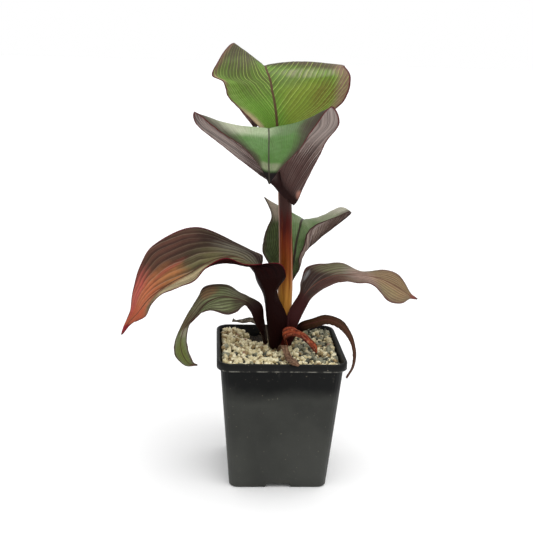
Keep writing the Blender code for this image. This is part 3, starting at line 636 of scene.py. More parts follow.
# Stations from foot to tip: a place on the rib, the way from it to the left margin and to the
# right one, then how far the left and the right half bow up, where they do
STATIONS = {
    "leaf_upright": [
        (1, 12.8, 262.5, -2.6, 0, 0, 2.6, 0, 0),
        (0, 15, 283, -3, 0, 0, 3, -0.5, 0),
        (-5.5, 17, 307, -10.5, 0, -2, 15.5, -4, -1, 0, -1),
        (-8, 19, 326.5, -31, -7, 1, 55, -13, 6.5, -3, -6),
        (-9.5, 22, 335.5, -39.5, -9.5, 2, 61.5, -15, 6.5, -3, -6),
        (-11.5, 25.5, 344, -40.5, -11.5, 2, 66, -16.5, 6, -3, -6),
        (-12, 28, 348, -43, -13, 2.5, 67, -16.5, 6, -2.5, -5.5),
        (-13, 30, 352, -50, -13, 0.5, 68, -16, 5.5, -2, -5),
        (-15.5, 37, 359, -42, -10, 9, 68, -13, 4.5, 1, -2),
        (-17, 48, 363.5, -31, -6, 17, 67, -8, 3.5, 0, 2.3),
        (-18, 68, 359, -19.5, -2, 14, 48.5, -6, -0.5, 2, 2.5),
        (-21, 93, 330, -23, -3, 4, 29, -1, -2, 3, 3),
        (-22, 106, 303, -1, 0, 0.5, 1, 0, 0.5),
    ],
    "leaf_front": [
        (0.5, 3.5, 253, 9, 1.5, -7.5, -6.5, 0, 7),
        (-2.5, 1.5, 267, 15, 2, -17, -10, -0.5, -1, -1.5, -0.5),
        (-7, -4, 283.5, 24.5, 3, -19, -16, -1, -9, -3, -2),
        (-13, -12.5, 298.5, 41.5, 1.5, -7.5, -34, -1.5, -5.5, -2, -3.5),
        (-14.5, -19, 308.5, 47.5, 0, -3, -49, -2, -2.5, -2, -3),
        (-16, -25, 313.5, 57, -2, 6, -59.5, -4, 3, -2, -3),
        (-17, -35, 315.5, 51, -5, 18.5, -60.5, -5, 10.5, -3, -3),
        (-17.5, -50, 310.5, 34.5, -4, 6.5, -41.5, -4, 4.5, 0, 1),
        (-18, -62, 299, 24, -2, 2.5, -20.5, -2, 3.5, 1, 2),
        (-18, -69, 287.5, 9.5, -1, 0, -8, -1, 1.5, 0, 1),
        (-17.5, -72, 275, 0.5, 0, 0.5, -0.5, 0, 0.5),
    ],
    "leaf_rear": [
        (5, 20.3, 150, -2.5, 0, 0, 2.5, 0, 0),
        (6, 21, 165, -2.5, 0, 0, 2.5, -0.5, 0),
        (9.5, 23, 176, -6.5, 1, -0.5, 2.5, -3, -0.5, -1, -1),
        (11.5, 24.5, 184, -17, 4.5, -0.5, 6, -7, 1.5, -2, -1.5),
        (13.5, 26, 193, -26, 7, -1, 3.5, -11, 0, -3, -3.5),
        (16.5, 33, 210.5, -30.5, 7, -4, 3.5, -17, -3, -4, -7),
        (19, 39, 218.5, -30, 6.5, -1.5, 4, -20, -0.5, -3.5, -7.5),
        (20.5, 44, 223, -27.5, 7, 3, 7, -22, 0, -3, -7),
        (24, 58, 223.5, -37, -2, 21, 23, -24, 5.5, -1, -1.5),
        (29, 73, 218.5, -25, 1, 3.5, 38, -23, 13, 1, 7),
        (33.5, 88, 204, -17, 0, 0.5, 22, -4, 5, 2, 3),
        (33, 94, 186, -0.5, 0, 0.5, 0.5, 0, 0.5),
    ],
    "leaf_left_large": [
        (-3.5, 4.8, 115, 4.7, -1.2, 0, -3.8, 4.6, 0),
        (-6, 0.5, 143.5, 13, 1, 0, -5, 6.5, -2),
        (-9.5, -2.5, 167, 6.5, 0, 2.5, -5.5, 5.5, -2),
        (-17.5, -7, 185, 21, -1, 1, -5, 7, -1.5, -2, 0),
        (-28, -9, 196.5, 23.5, -4, 1.5, 11.5, 12, 0, -4, 1),
        (-40.5, -10, 202.5, 9, -11, -4, 19, 18, 0, -4, 2),
        (-54.5, -12, 201.5, 4.5, -15, 2, -4.5, 19, 19, -4, 2),
        (-68, -14, 196, 2, -16, 0, -13, 19, 28.5, -1, 3),
        (-81, -16, 188, 3.5, -14, -2.5, -20.5, 17, 28.5, 0, 3),
        (-92, -18, 182.5, 3, -11, -3, -22.5, 14, 24.5, 0, 3),
        (-103.5, -19, 175.5, 1, -9, -1.5, -20, 10, 14.5, 0, 2),
        (-115, -20, 166, 3, -7, -1.5, -14.5, 6, 5, 0, 1),
        (-125.5, -21, 152.5, 7.5, -4, -1.5, -6.5, 2.5, 0),
        (-132.5, -21.5, 144.5, 3, -1.5, 0, -4, 1, -2),
        (-138.5, -22, 134, 0.5, 0, 0.5, 0, 0, 0.5),
    ],
    "leaf_left_lower": [
        (-9, 16, 115, 0.4, -2.4, 0, 0.4, 2.4, 0),
        (-17, 6, 138, -4, -3, -1, 4, 4, 1),
        (-24, 0, 153, -3, -2.5, -1.5, 7, 3, 3.5),
        (-29.5, -2, 158.5, -2, -3, -1.5, 6.5, 5, 2),
        (-38, -4.5, 162.5, 0, -6.5, -9, 6, 6.5, 2, -1, 1),
        (-52, -9, 165.5, 3.5, -10, -13, 4, 9, 8.5, 0, 1),
        (-65, -13, 161.5, 2, -7, -5.5, -2, 9, 12, 0, 2),
        (-76, -17, 149.5, 2, -3, 0.5, -3, 6, 7, 0, 1),
        (-85, -20, 138.5, 4, -2, 2.5, -4, 3, -1.5),
        (-87.5, -21, 125, 5.5, -2, 1.5, -5.5, 1, -0.5),
        (-85, -20, 114, 6, -2, 1.5, -6.5, 1, -1),
        (-80, -19, 107, 4, -1.5, 1, -3, 1, -3),
        (-72.5, -18, 105, -0.5, 0, 0.5, -0.5, 0, -0.5),
    ],
    "leaf_right_large": [
        (9, 7, 115, -2, 2.3, 0, 2, -2.3, 0),
        (11, 3.5, 143, -5.5, 3, -1, 7, -3.5, -1.5),
        (17, 1.5, 156, -5, 4, 0, 6, -4.5, -1),
        (21, -0.5, 165, -3.5, 5.5, 1.5, 5.5, -4.5, -2, 0.5, 0),
        (27, -3, 173.5, -9, 10, 2.5, 6, -5, -3, 2, 0),
        (37, -5, 181.5, -13, 15, 6, 6.5, -6, -3, 3, 0),
        (48, -7, 186, -9, 16, 6, 7, -7, -3.5, 3, 0),
        (60, -8, 187, -4.5, 14, 7.5, 8, -9, -4.5, 2, -1),
        (72.5, -9, 187, -2.5, 9, 1.5, 6.5, -10, -7, 1, -1),
        (85, -10, 185, -1, 7, 6, 3.5, -10, -14, 1, 1),
        (97.5, -11, 180, 2, 6, 9, -0.5, -9, -15, 1, 1),
        (108.5, -12, 173.5, 1, 3, 6.5, -0.5, -5, -9),
        (115, -12, 169, 0.5, 1, 2, -0.5, -1, -2),
        (121, -12, 166.5, -0.5, 0, 0.5, -0.5, 0, 0),
    ],
    "leaf_right_narrow": [
        (11, 18.5, 115.5, 0.5, 1.9, 0, -0.5, -1.9, 0),
        (21, 14, 131.5, -1, 2, 3, 3, -2, -3.5),
        (32, 8, 137.5, -1.5, 2.5, 3, 1, -3, -3.5),
        (43.5, 3, 142, -0.5, 3, 3.5, 0.5, -3, -3.5),
        (54.5, -2, 139.5, 2.5, 4, 2.5, -1.5, -3, -3),
        (62, -6, 132.5, 2.5, 3, 0, -3, -3, -1),
        (66.5, -9, 122.5, 2, 2, -1, -2, -2, 0.5),
        (68, -11, 112.5, 1.5, 2, -1, -1.5, -1, 0),
        (67, -12, 102.5, 1, 1, -0.5, -1.5, -0.5, 0),
        (61, -13, 92, 1, 0.5, -1, -0.5, -0.5, 1),
    ],
    "withered_leaf_right": [
        (6.9, 4.1, 115, 0.8, 0.9, 0, -0.7, -0.8, 0),
        (6, -8.5, 131.5, -1.8, 1.7, 5.5, 1, -2, -3.5, 1, 1),
        (12, -11, 134.5, -1.3, 2, 4, -0.3, -2, -3.5, 1, 1),
        (19.5, -13, 132, 0.5, 2, 2.5, -1.5, -2, -2, 1, 1),
        (26, -16, 127.5, 1.5, 1.3, 1.8, -1.5, -1.3, -2.2),
        (31, -18, 122, 2, 1.2, 1, -2, -0.6, -1.8),
        (32.5, -18, 117.5, 0.5, 0, 0.3, -0.5, 0, -0.3),
    ],
    "withered_leaf_front": [
        (-1, -4.8, 115.5, 1.2, 0, 0, -1.2, 0, 0),
        (2.5, -13, 122.5, 3, 0, 0.5, -2.5, 0, 0.5),
        (4, -26, 121, 3, 0, 1, -2, 0, 0),
        (5.5, -40, 120.5, 3.5, 0, 1, -2.5, 0, -1.5),
        (7, -54, 123, 4, 1, 0.5, -2.5, 1, -1.5),
        (9.5, -60, 123, 2.5, 0, 1, -2, 0, -1.5),
        (12.5, -61, 121, 1, 0, 1, -0.5, 0, -0.5),
    ],
    "dead_leaf_rear": [
        (-6, 21, 115, -0.8, -1, 0, 0.8, 1, 0),
        (-13, 33, 126, -1.5, -1.5, -2, 1.5, 1.5, 2),
        (-24.5, 44, 128, 0, -2, -1.5, 0, 2, 2),
        (-32.5, 50, 124.5, 1, -1, -1.5, -1, 2, 1.5),
        (-37.5, 54, 123.5, 0.5, -1, -0.5, -0.5, 1, 1),
        (-41, 57, 123.5, -0.5, 0, -2, 1, 0, 2),
    ],
}

# What a leaf is like unless LEAVES says otherwise. A zone is its place along the blade, its
# side (-1 right margin, 1 left margin), its half sizes both ways, its colour, its share and
# how much of it is streaks along the veins.
PLAIN_LEAF = dict(
    stalk_thick=5.0, ruffle=0.5, pleat=0.18, bow_reach=1.0,
    veins={"count": 22.0, "sweep": 0.42, "bend": 0.12},
    green=(88, 124, 42), green_light=(112, 150, 56),
    band=(60, 56, 32), band_share=0.5, hair_share=0.35,
    vein=(170, 194, 110), vein_share=0.5, vein_width=0.16,
    edge=(84, 52, 44), edge_share=0.8, edge_from=0.7,
    # fold_shade: colour of the painted shade on the ridges between side veins
    fold_shade=(58, 44, 30), fold_shade_share=0.3, fold_shade_tip=1.0,
    tip=(70, 34, 30), tip_from=0.97, rib=(72, 46, 38), rib_half=0.009,
    margin=(84, 34, 34), stalk=(34, 14, 12),
    under=(104, 84, 78), under_light=(140, 124, 118),
    under_dark=(48, 30, 28), under_vein=(178, 160, 152), under_share=0.6,
    zones=(), under_zones=(), gloss=0.36, shine=0.14,
)

LEAVES = {
    "leaf_upright": dict(
        blade_from=2, seed=3, ruffle=0.9, green=(88, 128, 40), green_light=(110, 156, 52),
        edge=(116, 84, 72), edge_from=0.9, band=(70, 66, 34), band_share=0.6, vein=(186, 206, 106),
        vein_share=0.85, vein_width=0.2, fold_shade=(62, 68, 28), fold_shade_share=0.42,
        veins={"count": 26.0, "sweep": 0.5, "bend": 0.12}, rib=(84, 52, 42),
        zones=(
            (0.08, 0.3, 0.16, 0.6, (104, 152, 52), 0.8, 0.2),
            (0.30, 0.35, 0.14, 0.5, (82, 88, 46), 0.7, 0.6),
            (0.43, 0.75, 0.15, 0.55, (82, 70, 60), 0.95, 0.45),
            (0.38, 1.0, 0.12, 0.14, (74, 56, 48), 0.9, 0.1),
            (0.44, 0.85, 0.07, 0.3, (66, 52, 46), 0.9, 0.2),
            (0.47, 0.5, 0.06, 0.8, (66, 52, 48), 0.85, 0.3),
            (0.20, 0.95, 0.14, 0.25, (108, 140, 66), 0.7, 0.2),
            (0.16, -0.45, 0.18, 0.4, (128, 142, 48), 0.85, 0.2),
            (0.18, -0.7, 0.16, 0.26, (108, 90, 40), 0.75, 0.7),
            (0.34, -0.25, 0.08, 0.3, (104, 122, 74), 0.6, 0.4),
            # painted sheen: a pale reflection just under the crest
            (0.355, -0.6, 0.04, 0.55, (168, 162, 136), 0.7, 0.8),
            (0.48, -0.3, 0.09, 0.5, (62, 44, 42), 1.0, 0.05),
            (0.44, -0.8, 0.085, 0.5, (80, 60, 54), 1.0, 0.1),
            (0.283, 1.0, 0.035, 0.10, (206, 176, 146), 1.0, 0.0),
            (0.05, 1.1, 0.1, 0.4, (206, 178, 148), 1.0, 0.0),
            (0.26, -1.0, 0.22, 0.2, (142, 106, 98), 0.9, 0.1),
        ),
        under=(104, 72, 66), under_light=(136, 108, 98), under_dark=(58, 32, 30),
    ),
    "leaf_front": dict(
        blade_from=1, stalk_thick=1.6, seed=5, ruffle=0.7, green=(70, 112, 50),
        green_light=(92, 130, 76), band_share=0.25, vein_share=0.2, edge=(54, 38, 40),
        edge_from=0.55, edge_share=0.95, fold_shade_share=0.15,
        veins={"count": 22.0, "sweep": 0.85, "bend": 0.1}, rib=(58, 52, 44), rib_half=0.007,
        tip=(16, 8, 8), tip_from=0.905,
        zones=(
            # painted sheen: a pale grey reflection across the left wing under the crest
            (0.60, -0.35, 0.10, 0.6, (172, 186, 152), 0.85, 0.15),
            (0.60, -0.8, 0.10, 0.5, (178, 180, 158), 0.95, 0.2),
            (0.62, 0.35, 0.06, 0.35, (104, 122, 92), 0.6, 0.3),
            (0.60, 0.85, 0.10, 0.3, (66, 50, 50), 0.9, 0.2),
            # painted highlight where the green face turns under, above the dark tip
            (0.895, 0.0, 0.03, 1.3, (158, 150, 134), 0.65, 0.5),
            (0.85, -0.9, 0.05, 0.4, (60, 50, 44), 0.8, 0.3),
        ),
        under=(98, 76, 70), under_light=(160, 142, 134), under_dark=(32, 17, 16),
        under_vein=(208, 192, 186), under_share=0.75,
        under_zones=(
            # painted shade: the underside near the foot, under the drooping blade
            (0.06, -0.95, 0.12, 0.5, (22, 14, 13), 0.95, 0.1),
            (0.48, 0.8, 0.12, 0.5, (158, 146, 140), 0.7, 0.5),
            (0.36, -0.9, 0.14, 0.2, (166, 154, 148), 0.6, 0.5),
            (0.14, 0.45, 0.16, 0.6, (70, 44, 40), 0.8, 0.3),
            # painted highlight on the rolled base lobe
            (0.05, 0.95, 0.05, 0.14, (180, 128, 112), 0.8, 0.0),
        ),
    ),
    "leaf_rear": dict(
        blade_from=2, stalk_thick=4.0, bow_reach=2.4, seed=7, ruffle=0.8, green=(80, 108, 60),
        green_light=(118, 146, 100), band_share=0.45, vein_share=0.28,
        vein_width=0.3, veins={"count": 18.0, "sweep": 0.9, "bend": 0.1}, rib=(52, 40, 34),
        rib_half=0.012, edge=(60, 46, 42), edge_from=0.86, margin=(58, 38, 34),
        under=(122, 102, 92), under_light=(160, 144, 132), under_dark=(70, 50, 45),
        zones=(
            (0.28, 0.8, 0.28, 0.62, (28, 38, 12), 1.0, 0.15),
            (0.42, -0.2, 0.12, 0.4, (112, 134, 96), 0.6, 0.4),
            (0.52, 0.95, 0.1, 0.4, (162, 142, 132), 0.95, 0.2),
            # painted sheen: a pale reflection over the blade's top right
            (0.62, -0.6, 0.1, 0.7, (160, 158, 138), 0.8, 0.4),
            (0.66, -0.9, 0.07, 0.5, (184, 178, 164), 0.9, 0.2),
            (0.47, 0.0, 0.06, 0.6, (140, 146, 120), 0.5, 0.5),
            (0.08, -0.6, 0.1, 0.6, (40, 46, 28), 0.8, 0.2),
        ),
    ),
    "leaf_left_large": dict(
        blade_from=3, seed=11, ruffle=1.0, pleat=0.35, green=(104, 98, 68),
        green_light=(122, 116, 88), band=(50, 28, 26), band_share=0.6, hair_share=0.5,
        vein=(168, 148, 126), vein_share=0.4, vein_width=0.3, fold_shade=(40, 22, 20), fold_shade_share=0.75,
        veins={"count": 4.6, "sweep": 1.5, "bend": 0.0}, edge=(52, 28, 30), edge_from=0.92,
        edge_share=0.9, fold_shade_tip=0.25, under=(30, 7, 6), under_light=(46, 12, 10),
        under_dark=(16, 4, 4), under_vein=(64, 32, 30), rib=(88, 64, 50), rib_half=0.005,
        stalk=(26, 8, 7), shine=0.06, tip=(142, 30, 46), tip_from=0.915, margin=(96, 22, 32),
        zones=(
            (0.38, -0.75, 0.30, 0.62, (38, 21, 20), 0.97, 0.2),
            (0.56, -0.85, 0.22, 0.55, (88, 56, 46), 0.95, 0.3),
            (0.17, -0.35, 0.14, 0.6, (122, 120, 106), 0.85, 0.4),
            (0.14, -0.85, 0.13, 0.45, (42, 30, 30), 1.0, 0.2),
            (0.34, 0.35, 0.26, 0.7, (120, 116, 78), 0.85, 0.3),
            (0.50, 0.65, 0.26, 0.6, (196, 178, 140), 0.9, 0.3),
            (0.64, -0.1, 0.18, 0.42, (180, 116, 70), 0.9, 0.3),
            (0.55, -0.33, 0.12, 0.07, (150, 72, 62), 0.7, 0.6),
            (0.76, -0.25, 0.14, 1.0, (194, 106, 72), 0.9, 0.2),
            (0.90, 0.0, 0.12, 1.5, (188, 88, 60), 0.9, 0.15),
            (0.76, -0.8, 0.14, 0.35, (178, 70, 78), 0.75, 0.5),
        ),
    ),
    "leaf_left_lower": dict(
        blade_from=3, stalk_thick=4.0, seed=13, ruffle=0.8, pleat=0.3, green=(106, 116, 74),
        green_light=(136, 144, 104), band=(52, 32, 28), band_share=0.6, hair_share=0.5,
        vein=(160, 158, 122), vein_share=0.35, vein_width=0.3, fold_shade=(46, 30, 26), fold_shade_share=0.7,
        veins={"count": 5.0, "sweep": 1.1, "bend": 0.0}, edge=(52, 26, 30), edge_from=0.66,
        edge_share=0.95, rib=(70, 50, 40), rib_half=0.005, under=(60, 36, 30),
        under_light=(84, 58, 48), under_dark=(32, 16, 14),
        zones=(
            (0.02, 0.0, 0.14, 1.3, (52, 34, 30), 0.85, 0.4),
            (0.13, -0.6, 0.1, 0.5, (120, 114, 100), 0.6, 0.5),
            (0.34, -0.6, 0.08, 0.45, (140, 92, 66), 0.8, 0.3),
            (0.46, -0.2, 0.08, 1.0, (112, 98, 78), 0.7, 0.4),
            (0.57, 0.0, 0.09, 1.2, (86, 52, 42), 0.85, 0.4),
            (0.66, 0.3, 0.05, 0.7, (168, 160, 140), 0.8, 0.3),
            (0.82, 0.0, 0.15, 0.75, (104, 118, 40), 0.95, 0.15),
            (1.0, 0.0, 0.06, 1.4, (104, 52, 40), 0.9, 0.1),
        ),
    ),
    "leaf_right_large": dict(
        blade_from=3, stalk_thick=2.0, seed=17, ruffle=0.9, pleat=0.25, green=(110, 102, 78),
        green_light=(134, 122, 102), band=(60, 42, 38), band_share=0.6, hair_share=0.5,
        vein=(166, 152, 138), vein_share=0.35, vein_width=0.3, fold_shade=(60, 34, 30), fold_shade_share=0.6,
        veins={"count": 5.0, "sweep": 1.3, "bend": 0.0}, edge=(84, 40, 44), edge_from=0.82,
        rib=(96, 62, 52), rib_half=0.004, stalk=(58, 22, 22), under=(110, 80, 70),
        under_light=(130, 100, 90),
        zones=(
            (0.09, 0.1, 0.26, 1.3, (36, 22, 22), 1.0, 0.1),
            # painted highlights: cool grey sheen on the dark glossy base
            (0.16, 0.72, 0.05, 0.16, (150, 152, 154), 0.8, 0.1),
            (0.10, 0.86, 0.06, 0.12, (120, 122, 124), 0.7, 0.1),
            (0.34, 0.5, 0.12, 0.4, (108, 112, 76), 0.85, 0.4),
            (0.26, -0.5, 0.2, 0.5, (86, 48, 42), 0.85, 0.4),
            (0.44, 0.1, 0.08, 0.6, (132, 128, 116), 0.5, 0.6),
            (0.52, -0.2, 0.13, 0.9, (160, 132, 120), 0.85, 0.3),
            (0.78, 0.1, 0.2, 1.2, (152, 124, 86), 0.9, 0.3),
            (0.72, -0.5, 0.1, 0.3, (140, 128, 88), 0.6, 0.4),
            (1.0, 0.0, 0.07, 1.4, (140, 48, 48), 0.9, 0.1),
        ),
    ),
    "leaf_right_narrow": dict(
        blade_from=1, stalk_thick=3.0, seed=19, green=(60, 24, 21),
        green_light=(80, 36, 31), band=(36, 14, 13), shine=0.06, vein_share=0.1, edge=(40, 18, 18),
        edge_from=0.5, rib=(84, 50, 42), rib_half=0.005,
        zones=((1.0, 0.0, 0.2, 1.6, (104, 84, 80), 0.7, 0.3),),
    ),
}

PLAIN_WITHERED = dict(
    blade_from=1, stalk_thick=2.0, ruffle=0.6, pleat=0.3, bow_reach=1.0, shaded=0.3,
    veins={"count": 6.0, "sweep": 0.3, "bend": 0.1},
)

WITHERED = {
    "withered_leaf_right": dict(
        seed=23, ruffle=0.8, pleat=0.35, shaded=0.7, dry=(132, 50, 30),
        dry_light=(190, 96, 60), dry_dark_and_shade=(50, 18, 12), dry_pale=(200, 160, 124),
    ),
    "withered_leaf_front": dict(
        seed=29, dry=(104, 74, 54), dry_light=(150, 120, 96), dry_dark_and_shade=(52, 34, 24),
        dry_pale=(184, 160, 130),
    ),
    "dead_leaf_rear": dict(
        seed=31, dry=(84, 74, 62), dry_light=(140, 130, 112), dry_dark_and_shade=(48, 40, 32),
        dry_pale=(170, 164, 148),
    ),
}


# ---------------------------------------------------------------- pseudostem

def stem_piece(surface):
    """The pseudostem: rolled sheaths whose edges run up it as low steps."""
    bm = bmesh.new()
    bmesh.ops.create_cone(
        bm, cap_ends=True, segments=STEM_SIDES, radius1=1.0, radius2=1.0, depth=1.0,
        calc_uvs=False,
    )
    sides = [edge for edge in bm.edges if abs(edge.verts[0].co.z - edge.verts[1].co.z) > 0.5]
    bmesh.ops.subdivide_edges(bm, edges=sides, cuts=STEM_ROWS - 1, use_grid_fill=True)
    for vert in bm.verts:
        share = vert.co.z + 0.5
        height = STEM_FOOT + (STEM_TOP - STEM_FOOT) * share
        angle = math.atan2(vert.co.y, vert.co.x)
        radius = stem_radius(height) - SHEATH_SINK
        for start, twist in SHEATH_EDGES:
            from_edge = (angle - start - twist * share) % (2 * math.pi)
            radius += SHEATH_STEP * math.exp(-from_edge / SHEATH_FADE)
        x, y = stem_centre(height)
        place = x + radius * math.cos(angle), y + radius * math.sin(angle), height
        vert.co = Vector(place) * MM
    for face in bm.faces:
        face.smooth = len(face.verts) == 4
    return object_from("stem_sheaths", bm, [surface])


# ---------------------------------------------------------------- gravel

def share_of(value, low, high):
    """How far a value is from low to high, held at both ends."""
    return min(max((value - low) / (high - low), 0.0), 1.0)


def mix_height(x, y):
    """Level of the topping at a place, with its hollow at the back left."""
    away = math.dist((x, y), HOLLOW_AT)
    return MIX_LEVEL - MIX_HOLLOW * math.exp(-(away / HOLLOW_REACH) ** 2)


def heaped(x, y):
    """How much higher the stones lie towards the rim, mostly at the back and the sides."""
    back = max(share_of(y, -30.0, 20.0), 0.25)
    return back * GRAVEL_HEAP * share_of(max(abs(x), abs(y)), 28.0, 44.0)


def inside_pot(corner):
    """Whether a stone's corner clears the pot's wall, which leans out as it rises."""
    core = WALL_HALF + WALL_LEAN * (corner.z - MIX_LEVEL) - WALL_CORNER
    past = math.hypot(max(abs(corner.x) - core, 0.0), max(abs(corner.y) - core, 0.0))
    return past <= WALL_CORNER


def settled(spot, form, shape):
    """Where a stone comes to lie: nearer the middle, in small steps, until it is in the pot."""
    for _ in range(STONE_TRIES):
        stone = Matrix.Translation(spot) @ form
        if all(inside_pot(stone @ vert.co) for vert in shape.vertices):
            return stone
        spot = Vector((spot.x * STONE_STEP, spot.y * STONE_STEP, spot.z))
    return None


def stone_kind(chance, x, y):
    """A stone's kind, drawn with odds that depend on where it lies."""
    before_stem = math.dist((x, y), BEFORE_STEM) < BEFORE_REACH
    grey = 1.6 if x > GREY_FROM[0] and y > GREY_FROM[1] else 0.7 if before_stem else 0.08
    brown = 1.0 if x < BROWN_FROM[0] and y > BROWN_FROM[1] else 0.15
    shares = (0.6, 0.2 + 0.5 * brown, 0.4 * grey, 0.06 + 0.12 * grey, 0.05)
    return chance.choices(list(STONES), shares)[0]


def stone_shape(chance, angular):
    """One stone about 2 across: a cube rounded off, or chipped where it is angular."""
    bm = bmesh.new()
    bmesh.ops.create_cube(bm, size=1.4)
    bmesh.ops.subdivide_edges(bm, edges=bm.edges[:], cuts=1, use_grid_fill=True)
    start = Vector([chance.uniform(-50, 50) for _ in range(3)])
    for vert in bm.verts:
        ball = vert.co.normalized()
        vert.co = vert.co.lerp(ball, 0.35 if angular else 0.55)
        vert.co *= 1.0 + STONE_ROUGH * noise.noise(ball * 1.5 + start)
    for face in bm.faces:
        face.smooth = not angular
    mesh = bpy.data.meshes.new("stone")
    bm.to_mesh(mesh)
    bm.free()
    return mesh


# Piece: whether angular, sizes from and to, then its skin as stone_skin takes it
STONES = {
    "stones_pale": (
        False, 1.7, 3.6, "pale_pumice", (206, 190, 140), (254, 246, 212), (158, 134, 90), 0.9,
    ),
    "stones_tan": (
        False, 1.5, 2.9, "tan_pumice", (132, 108, 72), (184, 162, 118), (100, 78, 48), 0.9,
    ),
    "stones_grey": (
        True, 2.0, 3.8, "grey_granite", (108, 108, 88), (168, 166, 142), (62, 62, 50), 0.4,
    ),
    "stones_dark": (
        True, 1.4, 2.6, "dark_granite", (48, 50, 42), (92, 94, 80), (140, 138, 126), 0.4,
    ),
    "stones_rose": (
        False, 1.5, 2.4, "rose_stone", (150, 108, 88), (182, 146, 124), (120, 80, 64), 0.7,
    ),
}


def gravel_pieces():
    """Stones on a jittered grid, dealt out by kind, each kind joined in one piece."""
    chance = random.Random(GRAVEL_SEED)
    shapes = {
        name: [stone_shape(chance, kind[0]) for _ in range(STONE_SHAPES)]
        for name, kind in STONES.items()
    }
    heaps = {name: bmesh.new() for name in STONES}
    count = int(2 * GRAVEL_HALF / GRAVEL_STEP) + 1
    for layer, *cell in itertools.product(range(len(GRAVEL_LAYERS)), range(count), range(count)):
        rise, left_out = GRAVEL_LAYERS[layer]
        shift = GRAVEL_STEP * 0.5 * (layer % 2) - GRAVEL_HALF
        x, y = (
            shift + part * GRAVEL_STEP + chance.uniform(-GRAVEL_JITTER, GRAVEL_JITTER)
            for part in cell
        )
        name = stone_kind(chance, x, y)
        size = chance.uniform(*STONES[name][1:3])
        turn = [chance.uniform(0, math.pi) for _ in range(3)]
        squash = [chance.uniform(*ends) for ends in ((0.8, 1.15), (0.7, 1.0), (0.65, 0.95))]
        lift = chance.uniform(-1.0, 1.0) + rise + heaped(x, y)
        shape = chance.choice(shapes[name])
        skipped = chance.random() < left_out
        bare = math.dist((x, y), BARE_AT) < BARE_REACH + BARE_GROWTH * layer
        hidden = layer == 0 and math.dist((x, y), HOLLOW_AT) > HOLLOW_FILL
        if skipped or bare or hidden:
            continue
        form = Matrix.Diagonal((*[size * part for part in squash], 1.0))
        for k in (2, 1, 0):
            form = Matrix.Rotation(turn[k], 4, "XYZ"[k]) @ form
        stone = settled(Vector((x, y, mix_height(x, y) + lift)), form, shape)
        if stone is None:
            continue
        heap = heaps[name]
        before = len(heap.verts)
        heap.from_mesh(shape)
        heap.verts.ensure_lookup_table()
        bmesh.ops.transform(heap, matrix=Matrix.Scale(MM, 4) @ stone, verts=heap.verts[before:])
    pieces = [
        object_from(name, heap, [stone_skin(*STONES[name][3:])]) for name, heap in heaps.items()
    ]
    for shape in sum(shapes.values(), []):
        bpy.data.meshes.remove(shape)
    return pieces


# ---------------------------------------------------------------- pot

def pot_piece(surface):
    """The pot's solid as one smooth skin, with its sharp edges kept."""
    bm = bmesh.new()
    bm.from_mesh(bpy.data.objects["pot"].data)
    bmesh.ops.remove_doubles(bm, verts=bm.verts[:], dist=0.00001)
    for face in bm.faces:
        face.smooth = True
    piece = object_from("pot_shell", bm, [surface])
    piece.data.set_sharp_from_angle(angle=math.radians(SHARP_FROM))
    return piece


# ---------------------------------------------------------------- stage

def studio_world(strength):
    """White all round at the horizon, dimmer walls above it and a bright soft ceiling."""
    world = bpy.data.worlds.new("studio")
    world.use_nodes = True
    tree = world.node_tree
    ground = tree.nodes["Background"]
    towards = tree.nodes.new("ShaderNodeTexCoord")
    split = tree.nodes.new("ShaderNodeSeparateXYZ")
    tree.links.new(towards.outputs["Generated"], split.inputs[0])
    ramp = tree.nodes.new("ShaderNodeValToRGB")
    for stop, place in zip(ramp.color_ramp.elements, (0.0, 1.0)):
        stop.position, stop.color = place, (1.0, 1.0, 1.0, 1.0)
    for place, level in SKY_STOPS:
        ramp.color_ramp.elements.new(place).color = (level, level, level, 1.0)
    tree.links.new(split.outputs[2], ramp.inputs[0])
    tree.links.new(ramp.outputs[0], ground.inputs["Color"])
    ground.inputs["Strength"].default_value = strength
    return world


def camera_piece():
    """The camera, where the object is seen from the front and a little from above."""
    data = bpy.data.cameras.new("camera")
    data.lens = CAMERA_LENS
    data.sensor_width = SENSOR
    data.clip_start = CLIP_FROM
    eye = bpy.data.objects.new("camera", data)
    tilt = Matrix.Rotation(math.radians(90.0 - CAMERA_PITCH), 4, "X")
    turn = Matrix.Rotation(math.radians(-CAMERA_YAW), 4, "Z")
    roll = Matrix.Rotation(math.radians(CAMERA_ROLL), 4, "Z")
    eye.matrix_world = Matrix.Translation(CAMERA_PLACE) @ turn @ tilt @ roll
    return eye


def key_piece(power):
    """The large soft light."""
    lamp = bpy.data.lights.new("key", "SUN")
    lamp.energy = power
    lamp.angle = math.radians(KEY_SPREAD)
    key = bpy.data.objects.new("key", lamp)
    key.rotation_euler = Vector(KEY_FROM).to_track_quat("Z", "Y").to_euler()
    return key


# ---------------------------------------------------------------- operators

class PlantSizes(bpy.types.PropertyGroup):
    leaf_rows: IntProperty(
        name="Leaf rows", description="Cells along each leaf", default=130, min=20,
    )
    leaf_cells: IntProperty(
        name="Leaf cells", description="Cells from rib to margin", default=20, min=4,
    )
    key_power: FloatProperty(
        name="Key light", description="Strength of the large soft light", default=1.55, min=0.0,
    )
    sky: FloatProperty(name="Sky", description="Brightness of the surroundings", default=1.0)


class PlantColours(bpy.types.PropertyGroup):
    floor: FloatVectorProperty(
        name="Floor", description="Colour of the floor", subtype="COLOR",
        default=(0.97, 0.97, 0.97), min=0.0, max=1.0,
    )


def dress(piece, slot, *nodes):
    """Lets a piece ride on the plant and stand for CAD nodes; its slot is not used."""
    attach(piece, "root")
    if nodes:
        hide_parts(*nodes)


